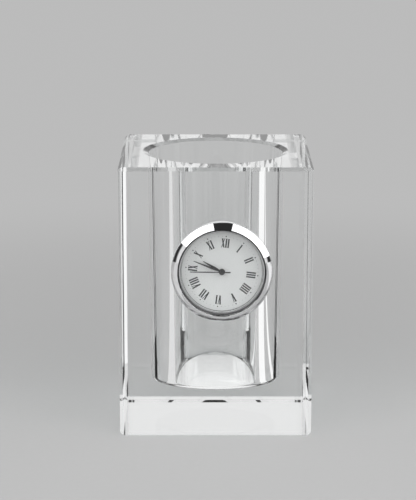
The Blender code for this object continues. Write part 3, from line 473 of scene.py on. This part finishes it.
def polished_metal(name, colour, worn, roughness, grain=0.25):
    """Plated metal: cloudy differences in gloss, and specks of wear."""
    made, tree, shader, add = shader_graph(name)
    cloud = object_noise(add, grain, detail=5.0, roughness=0.6)
    gloss = spread(add, cloud, low=roughness * 0.6, high=roughness * 1.6)
    tree.links.new(gloss, shader.inputs["Roughness"])
    wear = spread(add, cloud, low=0, high=1, start=0.55, end=0.75)
    tree.links.new(blend_colours(add, wear, colour, worn), shader.inputs["Base Color"])
    specks = object_noise(add, scale=2.0, detail=2.0)
    tree.links.new(bump(add, specks, strength=0.02, distance=0.01 * mm), shader.inputs["Normal"])
    shader.inputs["Metallic"].default_value = 1.0
    return made


def turned_metal(name, colour, worn, roughness, pitch):
    """Metal with the fine rings that a lathe leaves round the clock's axis."""
    made, tree, shader, add = shader_graph(name)
    place = add("ShaderNodeTexCoord").outputs["Object"]
    apart = add("ShaderNodeSeparateXYZ", {"Vector": place})
    flat = add("ShaderNodeCombineXYZ", {"X": apart.outputs["X"], "Y": apart.outputs["Y"]})
    radius = add("ShaderNodeVectorMath", {0: flat.outputs["Vector"]}, operation="LENGTH").outputs["Value"]
    along = combine(add, radius, apart.outputs["Z"], "ADD")
    scaled = combine(add, along, 1 / pitch, "MULTIPLY")
    noise = add("ShaderNodeTexNoise", {"W": scaled, "Scale": 1.0, "Detail": 2.0}, noise_dimensions="1D")
    rings = noise.outputs["Fac"]
    cloud = object_noise(add, scale=0.2, detail=4.0)
    gloss = spread(add, rings, low=roughness * 0.7, high=roughness * 1.4)
    tree.links.new(gloss, shader.inputs["Roughness"])
    tree.links.new(blend_colours(add, cloud, colour, worn), shader.inputs["Base Color"])
    tree.links.new(bump(add, rings, strength=0.25, distance=0.01 * mm), shader.inputs["Normal"])
    shader.inputs["Metallic"].default_value = 1.0
    return made


def painted(name, colour, second, roughness, grain=1.5, depth=0.02 * mm, coat=0.0):
    """Paint, print, rubber or plastic: a fine grain, a slight mottle and uneven gloss."""
    made, tree, shader, add = shader_graph(name)
    fine = object_noise(add, grain, detail=4.0, roughness=0.6)
    broad = object_noise(add, grain * 0.12)
    gloss = spread(add, broad, low=roughness * 0.85, high=roughness * 1.15)
    tree.links.new(gloss, shader.inputs["Roughness"])
    tree.links.new(blend_colours(add, broad, colour, second), shader.inputs["Base Color"])
    tree.links.new(bump(add, fine, strength=0.15, distance=depth), shader.inputs["Normal"])
    shader.inputs["Coat Weight"].default_value = coat
    return made


block_glass = clear_glass("block glass", ripple=0.01)
lens_glass = clear_glass("lens glass", ripple=0.005)

chrome = polished_metal("polished chrome", (0.82, 0.82, 0.83), (0.7, 0.7, 0.7), roughness=0.035)
nickel = polished_metal(
    "nickel strip", (0.74, 0.72, 0.68), (0.6, 0.58, 0.54), roughness=0.12, grain=0.8
)
steel = polished_metal(
    "movement steel", (0.58, 0.58, 0.6), (0.44, 0.44, 0.46), roughness=0.25, grain=0.6
)

case_metal = turned_metal(
    "turned case metal", (0.5, 0.5, 0.51), (0.4, 0.4, 0.41), roughness=0.3, pitch=0.12 * mm
)
back_metal = turned_metal(
    "spun steel back", (0.62, 0.62, 0.63), (0.54, 0.54, 0.55), roughness=0.22, pitch=0.1 * mm
)
cell_steel = turned_metal(
    "cell can steel", (0.66, 0.66, 0.67), (0.58, 0.58, 0.6), roughness=0.18, pitch=0.1 * mm
)
brass = turned_metal(
    "turned brass", (0.8, 0.6, 0.3), (0.68, 0.5, 0.24), roughness=0.25, pitch=0.08 * mm
)
copper = turned_metal(
    "wound copper wire", (0.62, 0.26, 0.12), (0.45, 0.17, 0.08), roughness=0.3, pitch=0.06 * mm
)

# Painted shade: black put on the surfaces round the lens and at the flange's foot, where the gaps lie in
# shade
gap_shade_black = painted("painted gap shade", (0.012, 0.012, 0.013), (0.02, 0.02, 0.021), roughness=0.4)
dial_white = painted(
    "dial paint", (0.88, 0.88, 0.875), (0.84, 0.84, 0.835), roughness=0.45, grain=2.5, depth=0.01 * mm
)
ink = painted("dial ink", (0.012, 0.012, 0.014), (0.03, 0.03, 0.032), roughness=0.5, grain=4.0)
hand_black = painted(
    "hand lacquer", (0.01, 0.01, 0.011), (0.022, 0.022, 0.023), roughness=0.35, grain=2.0, depth=0.01 * mm
)
rubber = painted(
    "ring rubber", (0.018, 0.018, 0.018), (0.035, 0.035, 0.035), roughness=0.65, grain=1.2, depth=0.05 * mm
)
plastic = painted(
    "white plastic", (0.72, 0.72, 0.69), (0.66, 0.66, 0.63), roughness=0.45, grain=1.0, depth=0.04 * mm
)
board_green = painted(
    "green board lacquer",
    (0.02, 0.14, 0.05),
    (0.035, 0.2, 0.08),
    roughness=0.3,
    grain=1.0,
    depth=0.03 * mm,
    coat=0.3,
)
resin = painted(
    "chip resin", (0.014, 0.014, 0.014), (0.03, 0.03, 0.03), roughness=0.55, grain=2.0, depth=0.04 * mm
)


def make_block():
    """Glass block with rounded edges, the cup with its bevelled mouth, and the clock's recess."""
    low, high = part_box("crystal_block")
    body = block_body(low, high)
    bmesh.ops.bevel(body, geom=body.edges[:], offset=block_chamfer, segments=1, affect="EDGES")
    bmesh.ops.bevel(body, geom=body.edges[:], offset=edge_round, segments=round_segments, affect="EDGES")
    top = high[2]
    floor = low[2] + cup_floor_thickness
    above = top + overrun
    mouth = cup_radius + cup_draft
    rim = mouth + cup_bevel_width
    cup = [
        (0, floor, 0),
        (cup_radius, floor, cup_floor_fillet),
        (mouth, top - cup_bevel_depth, mouth_round),
        (rim, top, mouth_round),
        (rim, above, 0),
        (0, above, 0),
    ]
    recess = [
        (0, -recess_depth, 0),
        (recess_radius, -recess_depth, recess_chamfer),
        (recess_radius, -recess_chamfer, 0),
        (recess_radius + recess_chamfer + overrun, overrun, 0),
        (0, overrun, 0),
    ]
    cutters = [
        (turned(rounded(cup, 2 * arc_steps), bore_sides), Matrix.Identity(4)),
        (turned(rounded(recess), ring_sides), clock_frame),
    ]
    block = cut(body, cutters)
    show("glass_block", block, Matrix.Identity(4), "block", [block_glass], ["crystal_block"])


def make_bezel():
    """Chrome ring with a crowned slope and a rounded crest, its wall round the lens painted black as shade.
    """
    crest = lens_bore + bezel_lip
    slope_start = Vector((crest + bezel_lip, bezel_front - bezel_lip))
    slope_end = Vector((bezel_radius - bezel_slope_inset, bezel_rim_front + bezel_slope_rise))
    across = Vector((slope_start.y - slope_end.y, slope_end.x - slope_start.x)).normalized()
    outline = rounded(
        [
            (skirt_bore, dial_back, 0),
            (skirt_bore, lens_ledge, 0),
            (lens_bore, lens_ledge, 0),
            (lens_bore, lens_front, 0),
            (lens_bore, bezel_front - 2 * bezel_lip, 0),
            (crest, bezel_front, bezel_lip / 2),
        ]
    )[:-1]
    for step in range(crown_steps + 1):
        share = step / crown_steps
        outline.append(slope_start.lerp(slope_end, share) + across * bezel_crown * math.sin(math.pi * share))
    outline += [
        Vector((bezel_radius, bezel_rim_front)),
        Vector((bezel_radius, bezel_back)),
        Vector((skirt_radius, bezel_back)),
        Vector((skirt_radius, dial_back)),
    ]
    body = turned(outline, ring_sides)
    # The wall above the lens ledge is painted black as the shade in the gap round the lens
    for face in body.faces:
        radii = [corner.co.xy.length for corner in face.verts]
        levels = [corner.co.z for corner in face.verts]
        on_wall = min(radii) > lens_bore - face_margin and max(radii) < crest + face_margin
        if on_wall and min(levels) > lens_ledge - face_margin:
            face.material_index = 1
    show("bezel_ring", body, clock_frame, "insert", [chrome, gap_shade_black], ["bezel"])


def make_lens():
    """Flat glass with its edge painted black as shade."""
    outline = [
        (0, lens_back),
        (lens_radius, lens_back),
        (lens_radius, lens_front - lens_chamfer),
        (lens_radius - lens_chamfer, lens_front),
        (0, lens_front),
    ]
    body = turned(outline, ring_sides)
    # The lens's edge is painted black as the shade in the gap round it
    for face in body.faces:
        if min(corner.co.xy.length for corner in face.verts) > lens_radius - lens_chamfer - face_margin:
            face.material_index = 1
    show("lens_disc", body, clock_frame, "insert", [lens_glass, gap_shade_black], ["lens"])


def make_flange():
    """Sloping chrome ring round the dial, with its foot painted dark as shade."""
    outline = [
        (flange_foot, flange_low),
        (flange_dark_top, flange_dark_level),
        (flange_outer - flange_slope_inset, flange_high - flange_slope_drop),
        (flange_outer - flange_lip, flange_high),
        (flange_outer, flange_high),
        (flange_outer, flange_low),
    ]
    body = turned(outline, ring_sides)
    # The foot of the flange is painted dark as the shade in the gap beside the dial
    for face in body.faces:
        middle = face.calc_center_median()
        if middle.xy.length < flange_dark_top and middle.z > flange_low:
            face.material_index = 1
    show("flange_ring", body, clock_frame, "insert", [chrome, gap_shade_black], ["dial_flange"])


def make_dial():
    """White disc with a hole for the hands' tubes."""
    outline = rounded(
        [
            (dial_hole, dial_back, 0),
            (dial_hole, dial_front, dial_edge),
            (flange_outer, dial_front, dial_edge),
            (flange_outer, dial_back, 0),
        ]
    )
    body = turned(outline, ring_sides)
    show("dial_face", body, clock_frame, "insert", [dial_white], ["dial"])


def bar(body, foot, head, width, low, high):
    """A straight stroke between two points, cut off level at both ends."""
    half = Vector((width / 2, 0))
    prism([foot - half, foot + half, head + half, head - half], low, high, body)


def serif(body, middle, width, low, high):
    """A thin cross bar at the end of a stroke."""
    half = Vector((width / 2 + serif_reach, 0))
    up = Vector((0, serif_height / 2))
    outline = [middle - half - up, middle + half - up, middle + half + up, middle - half + up]
    prism(outline, low, high, body)


def letter(body, kind, left, low, high):
    """One letter of a Roman numeral, from its left edge, standing on local y 0."""
    width = letter_widths[kind]
    middle = left + width / 2
    foot_y, head_y = serif_height / 2, numeral_height - serif_height / 2
    lean = width / 2 - bar_width / 2
    left_arm, right_arm = middle - lean, middle + lean
    strokes = {
        "I": [(middle, middle, bar_width)],
        "V": [(middle, left_arm, bar_width), (middle, right_arm, thin_bar_width)],
        "X": [(right_arm, left_arm, bar_width), (left_arm, right_arm, thin_bar_width)],
    }
    for foot_x, head_x, stroke in strokes[kind]:
        bar(body, Vector((foot_x, 0)), Vector((head_x, numeral_height)), stroke, low, high)
        serif(body, Vector((head_x, head_y)), stroke, low, high)
        if kind != "V":
            serif(body, Vector((foot_x, foot_y)), stroke, low, high)


def make_print():
    """Roman numerals with their feet towards the centre, and hour and minute dots round them."""
    low = dial_front + ink_lift
    high = low + ink_thickness
    for number, word in enumerate(numerals):
        body = bmesh.new()
        width = sum(letter_widths[kind] for kind in word) + letter_gap * (len(word) - 1)
        left = -width / 2
        for kind in word:
            letter(body, kind, left, low, high)
            left += letter_widths[kind] + letter_gap
        bmesh.ops.translate(body, vec=(0, numeral_foot, 0), verts=body.verts)
        turn = clock_frame @ Matrix.Rotation(-math.tau * number / len(numerals), 4, "Z")
        name = "numeral_" + str(number or len(numerals))
        show(name, body, turn, "insert", [ink], ())
    dots = bmesh.new()
    minutes = minutes_per_numeral * len(numerals)
    for minute in range(minutes):
        radius = minute_dot_radius if minute % minutes_per_numeral else hour_dot_radius
        middle = polar(track_radius, 90 - 360 * minute / minutes)
        outline = [middle + polar(radius, 360 * step / dot_sides) for step in range(dot_sides)]
        prism(outline, low, high, dots)
    show("minute_track", dots, clock_frame, "insert", [ink], ())


def blade(hub, width, length, low, high, tip_share=blade_tip_share, tail_length=0, tail_width=0):
    """A hand: round hub, a blade that swells and tapers, and a tail if one is given."""
    neck = width * blade_neck_share / 2
    tip = width * tip_share / 2
    start = math.degrees(math.asin(neck / hub))
    turn = math.degrees(math.asin(tail_width / 2 / hub)) if tail_length else 0
    outline = [
        Vector((width / 2, length * blade_widest_share)),
        Vector((tip, length - tip)),
        Vector((0, length)),
        Vector((-tip, length - tip)),
        Vector((-width / 2, length * blade_widest_share)),
    ]
    sweep = 180 - turn - start
    arc = [polar(hub, 90 + start + sweep * step / small_sides) for step in range(small_sides + 1)]
    if tail_length:
        arc += [Vector((-tail_width / 2, -tail_length)), Vector((tail_width / 2, -tail_length))]
    else:
        arc = arc[:-1]
    arc += [polar(hub, 270 + turn + sweep * step / small_sides) for step in range(small_sides + 1)]
    body = prism(outline + arc, low, high)
    rim = [edge for edge in body.edges if all(abs(v.co.z - high) < merge_distance for v in edge.verts)]
    bevelled = (high - low) * blade_facet_share
    bmesh.ops.bevel(body, geom=rim, offset=bevelled, segments=round_segments, affect="EDGES")
    return body


def hand_frame(degrees):
    """The clock's frame turned clockwise, so that local +Y is the way a hand points."""
    return clock_frame @ Matrix.Rotation(-math.radians(degrees), 4, "Z")


def make_hands():
    """Hour, minute and second hand, each on its own body, and the cap over the second hand's hub."""
    level = hour_hand_back
    body = blade(hour_hub_radius, hour_hand_width, hour_hand_length, level, level + hand_thickness)
    turn = hand_frame(hour_hand_degrees)
    show("hour_blade", body, turn, "hours", [hand_black], ["hour_hand"])
    level = minute_hand_back
    body = blade(minute_hub_radius, minute_hand_width, minute_hand_length, level, level + hand_thickness)
    turn = hand_frame(minute_hand_degrees)
    show("minute_blade", body, turn, "minutes", [hand_black], ["minute_hand"])
    level = second_hand_back
    body = blade(
        second_hub_radius / 2,
        second_hand_width,
        second_hand_length,
        level,
        level + hand_thickness,
        second_tip_share,
        second_tail_length,
        second_tail_width,
    )
    turn = hand_frame(second_hand_degrees)
    show("second_blade", body, turn, "seconds", [hand_black], ["second_hand"])
    cap = rounded(
        [
            (0, second_hub_back, 0),
            (second_hub_radius, second_hub_back, 0),
            (second_hub_radius, second_hub_front, second_hub_edge),
            (0, second_hub_front, 0),
        ]
    )
    show("second_cap", turned(cap, small_sides), turn, "seconds", [hand_black], ())


def make_case():
    """Turned drum with the groove for the rubber ring and the crown's notch."""
    outline = rounded(
        [
            (case_bore, 0, 0),
            (case_radius, 0, case_edge),
            (case_radius, groove_front, case_edge / 2),
            (groove_radius, groove_front, 0),
            (groove_radius, groove_back, 0),
            (case_radius, groove_back, case_edge / 2),
            (case_radius, case_back_level, 2 * case_edge),
            (case_bore, case_back_level, case_edge),
        ]
    )
    notch = block_body(
        (skirt_bore, -notch_half, stem_level - notch_half),
        (recess_radius, notch_half, stem_level + notch_half),
    )
    body = cut(turned(outline, ring_sides), [(notch, Matrix.Identity(4))])
    show("case_drum", body, clock_frame, "insert", [case_metal], ["case"])


def make_gasket():
    """Rubber ring with thin rounded fins."""
    pitch = (gasket_front - gasket_back) / gasket_fins
    corners = [(gasket_inner, gasket_back, 0), (gasket_inner, gasket_front, 0)]
    for fin in range(gasket_fins):
        level = gasket_front - fin * pitch
        corners += [
            (gasket_body, level, 0),
            (gasket_tip, level - fin_start_share * pitch, fin_round),
            (gasket_tip, level - fin_end_share * pitch, fin_round),
        ]
    corners.append((gasket_body, gasket_back, 0))
    body = turned(rounded(corners, arc_steps // 2), ring_sides)
    show("rubber_ring", body, clock_frame, "grip_ring", [rubber], ["gasket"])


def make_cover():
    """Spun back cover with a raised rim, a shallow dish and a notch to lift it by."""
    back = case_back_level
    outline = rounded(
        [
            (0, cover_front, 0),
            (cover_radius, cover_front, 0),
            (cover_radius, back, cover_edge),
            (cover_step_radius + cover_step, back, cover_step_round),
            (cover_step_radius, back + cover_step, cover_step_round),
            (0, back + cover_step, 0),
        ]
    )
    middle = (cover_front + back) / 2
    notch = block_body(
        (-pry_notch_half, -cover_radius - overrun, back - overrun),
        (pry_notch_half, pry_notch_depth - cover_radius, middle),
    )
    body = cut(turned(outline, ring_sides), [(notch, Matrix.Identity(4))])
    show("back_cover", body, clock_frame, "insert", [back_metal], ["case_back"])


def make_crown():
    """Knob with rounded grooves round its rim and a bevel on its outer face."""
    steps = steps_per_groove * crown_grooves
    outline = []
    for step in range(steps):
        wave = (1 - math.cos(math.tau * step / steps_per_groove)) / 2
        outline.append(polar(crown_radius - crown_groove_depth * wave, 360 * step / steps))
    body = prism(outline, crown_start, case_radius)
    rim = [edge for edge in body.edges if all(abs(v.co.z - case_radius) < merge_distance for v in edge.verts)]
    bmesh.ops.bevel(body, geom=rim, offset=crown_edge, segments=round_segments, affect="EDGES")
    turn = clock_frame @ Matrix.Translation((0, 0, stem_level)) @ Matrix.Rotation(math.pi / 2, 4, "Y")
    show("crown_knob", body, turn, "stem", [chrome], ["crown"])


def dress_movement():
    """Procedural materials on the movement's pieces, which keep their CAD shapes."""
    finishes = {
        "movement_ring": plastic,
        "main_plate": brass,
        "train_bridge": brass,
        "seconds_wheel": brass,
        "third_wheel": brass,
        "centre_wheel": brass,
        "intermediate_wheel": brass,
        "minute_wheel": brass,
        "hour_wheel": brass,
        "motor_rotor": steel,
        "stator": steel,
        "coil_core": steel,
        "coil": copper,
        "battery": cell_steel,
        "battery_contact": nickel,
        "battery_strap": nickel,
        "circuit_board": board_green,
        "chip": resin,
        "quartz_can": nickel,
        "setting_stem": steel,
        "setting_yoke": steel,
    }
    for name, node in frame["nodes"].items():
        if name.endswith("_screw") or "_screw_" in name:
            finish = steel
        else:
            finish = finishes.get(name)
        if finish:
            node.data.materials.clear()
            node.data.materials.append(finish)


def make_camera():
    """Camera in front of the block, level from side to side and looking a little down."""
    data = bpy.data.cameras.new("camera")
    data.lens = camera_lens
    data.sensor_width = sensor_width
    camera = bpy.data.objects.new("camera", data)
    bpy.context.scene.collection.objects.link(camera)
    camera.location = camera_place
    camera.rotation_euler = (math.radians(90 - camera_down_degrees), 0, 0)
    bpy.context.scene.camera = camera


def soft_box(name, degrees):
    """A flat lamp beside the clock, that fills these angles above the right-hand horizon.

    It is mirrored by faces but isn't seen through glass.
    """
    low, high = (math.radians(angle) for angle in degrees)
    middle = (low + high) / 2
    towards = Vector((math.cos(middle), 0, math.sin(middle)))
    along = Vector((0, 1, 0))
    data = bpy.data.lights.new(name, "AREA")
    data.shape = "RECTANGLE"
    data.size = box_depth
    data.size_y = 2 * box_distance * math.tan((high - low) / 2)
    data.energy = math.pi * data.size * data.size_y * box_radiance
    lamp = bpy.data.objects.new(name, data)
    bpy.context.scene.collection.objects.link(lamp)
    turn = Matrix((along, towards.cross(along), towards)).transposed().to_4x4()
    place = clock_centre + towards * box_distance - along * box_forward
    lamp.matrix_world = Matrix.Translation(place) @ turn
    lamp.visible_camera = False
    lamp.visible_transmission = False


def make_floor():
    """A wide pale floor, even far away, with painted reflections: glowing white patches that only glass and
    metal show.

    The glowing patches are a sector at each side, a thin bar at the right and a square under the block.
    """
    body = bmesh.new()
    bmesh.ops.create_grid(body, x_segments=floor_squares, y_segments=floor_squares, size=floor_half)
    made, tree, shader, add = shader_graph("floor paper")
    grain = object_noise(add, scale=0.5, detail=4.0)
    dark, light = ((paper_grey * (1 + shift),) * 3 for shift in (-paper_mottle, paper_mottle))
    tree.links.new(blend_colours(add, grain, dark, light), shader.inputs["Base Color"])
    shader.inputs["Roughness"].default_value = paper_roughness
    shader.inputs["Specular IOR Level"].default_value = paper_gloss
    place = add("ShaderNodeTexCoord").outputs["Object"]
    distance = add("ShaderNodeVectorMath", {0: place}, operation="LENGTH").outputs["Value"]
    path = add("ShaderNodeLightPath").outputs
    mirrored = combine(add, path["Is Glossy Ray"], path["Is Transmission Ray"], "MAXIMUM")
    seen = combine(add, path["Is Camera Ray"], mirrored, "MAXIMUM")
    even = combine(add, ramp(add, distance, floor_near, floor_far, 0, 1), seen, "MULTIPLY")
    apart = add("ShaderNodeSeparateXYZ", {"Vector": place}).outputs
    azimuth = combine(add, apart["X"], apart["Y"], "ARCTAN2")

    def sector(degrees):
        """1 between two azimuths and 0 elsewhere, with soft edges."""
        start, end, edge = (math.radians(angle) for angle in (*degrees, glow_patch_edge_degrees))
        rise = ramp(add, azimuth, start - edge, start + edge, 0, 1)
        return combine(add, rise, ramp(add, azimuth, end - edge, end + edge, 1, 0), "MULTIPLY")

    slanted = combine(add, combine(add, apart["X"], glow_bar_slope, "MULTIPLY"), apart["Y"], "ADD")
    rise = ramp(add, slanted, glow_bar_near - glow_patch_edge, glow_bar_near, 0, 1)
    fall = ramp(add, slanted, glow_bar_far, glow_bar_far + glow_patch_edge, 1, 0)
    strip = combine(add, sector(glow_bar_degrees), combine(add, rise, fall, "MULTIPLY"), "MULTIPLY")
    aside = [add("ShaderNodeMath", {0: apart[axis]}, operation="ABSOLUTE").outputs["Value"] for axis in "XY"]
    out = combine(add, *aside, "MAXIMUM")
    under = ramp(add, out, under_glow_patch_half - glow_patch_edge, under_glow_patch_half, 1, 0)
    # Painted reflections: where the glowing patches lie on the floor, and how bright each glows
    glow_patches = (
        (sector(right_glow_patch_degrees), right_glow_patch_radiance),
        (strip, right_glow_patch_radiance),
        (sector(left_glow_patch_degrees), left_glow_patch_radiance),
        (under, under_glow_patch_radiance),
    )
    painted_glow_mask, radiance = 0.0, 0.0
    for cover, level in glow_patches:
        painted_glow_mask = combine(add, painted_glow_mask, cover, "MAXIMUM")
        radiance = combine(add, radiance, combine(add, cover, level, "MULTIPLY"), "MAXIMUM")
    # The patches glow only for rays that glass and metal send out, as painted reflections
    painted_glow_mask = combine(add, painted_glow_mask, mirrored, "MULTIPLY")
    glow = add("ShaderNodeEmission", {"Color": (floor_grey,) * 3 + (1,), "Strength": 1.0})
    white = add("ShaderNodeEmission", {"Color": (1, 1, 1, 1), "Strength": radiance})
    evened = add("ShaderNodeMixShader", {0: even, 1: shader.outputs["BSDF"], 2: glow.outputs["Emission"]})
    mixed = add("ShaderNodeMixShader", {0: painted_glow_mask, 1: evened.outputs["Shader"], 2: white.outputs["Emission"]})
    tree.links.new(mixed.outputs["Shader"], tree.nodes["Material Output"].inputs["Surface"])
    mesh = bpy.data.meshes.new("floor")
    body.to_mesh(mesh)
    body.free()
    mesh.materials.append(made)
    floor = bpy.data.objects.new("floor", mesh)
    floor.location.z = -floor_gap
    bpy.context.scene.collection.objects.link(floor)


def make_studio():
    """Pale behind the object, light in front, and dark overhead and at the sides except through glass.

    The camera sees the floor's grey in every direction.
    """
    world = bpy.data.worlds.new("studio")
    world.use_nodes = True
    tree = world.node_tree
    add = node_adder(tree)
    apart = add("ShaderNodeSeparateXYZ", {"Vector": add("ShaderNodeTexCoord").outputs["Generated"]}).outputs
    aside = add("ShaderNodeMath", {0: apart["X"]}, operation="ABSOLUTE").outputs["Value"]
    low = ramp(add, apart["Z"], *studio_back_height, 1, 0)
    back = ramp(add, apart["Y"], *studio_back_depth, 0, studio_back)
    wings = ramp(add, apart["Y"], *studio_wings_depth, 0, studio_wings)
    wings = combine(add, wings, ramp(add, aside, *studio_wings_side, 0, 1), "MULTIPLY")
    behind = combine(add, combine(add, back, wings, "MAXIMUM"), low, "MULTIPLY")
    front = ramp(add, apart["Y"], *studio_front_depth, 0, studio_front)
    front = combine(add, front, ramp(add, apart["Z"], *studio_front_height, 1, 0), "MULTIPLY")
    level = combine(add, behind, combine(add, front, studio_dark, "MAXIMUM"), "MAXIMUM")
    path = add("ShaderNodeLightPath").outputs
    view = path["Is Camera Ray"]
    over = ramp(add, apart["Z"], *studio_over_height, 0, studio_over)
    sides = ramp(add, aside, *studio_sides_side, 0, studio_sides)
    through = combine(add, combine(add, over, sides, "MAXIMUM"), path["Is Transmission Ray"], "MULTIPLY")
    level = combine(add, level, through, "MAXIMUM")
    mirrored = combine(add, path["Is Glossy Ray"], path["Is Transmission Ray"], "MAXIMUM")
    glare = combine(add, combine(add, level, studio_seen, "SUBTRACT"), 0.0, "MAXIMUM")
    level = combine(add, level, combine(add, glare, mirrored, "MULTIPLY"), "SUBTRACT")
    lit = combine(add, level, combine(add, 1.0, view, "SUBTRACT"), "MULTIPLY")
    seen = combine(add, floor_grey, view, "MULTIPLY")
    tree.links.new(combine(add, lit, seen, "ADD"), tree.nodes["Background"].inputs["Color"])
    bpy.context.scene.world = world


def make_stage():
    """Floor, studio and lamps, shown in plain colours."""
    make_floor()
    make_studio()
    soft_box("right soft box", right_box_degrees)
    soft_box("left soft box", left_box_degrees)
    bpy.context.scene.view_settings.view_transform = "Standard"


make_camera()
make_stage()
make_block()
make_bezel()
make_lens()
make_flange()
make_dial()
make_print()
make_hands()
make_case()
make_gasket()
make_cover()
make_crown()
dress_movement()
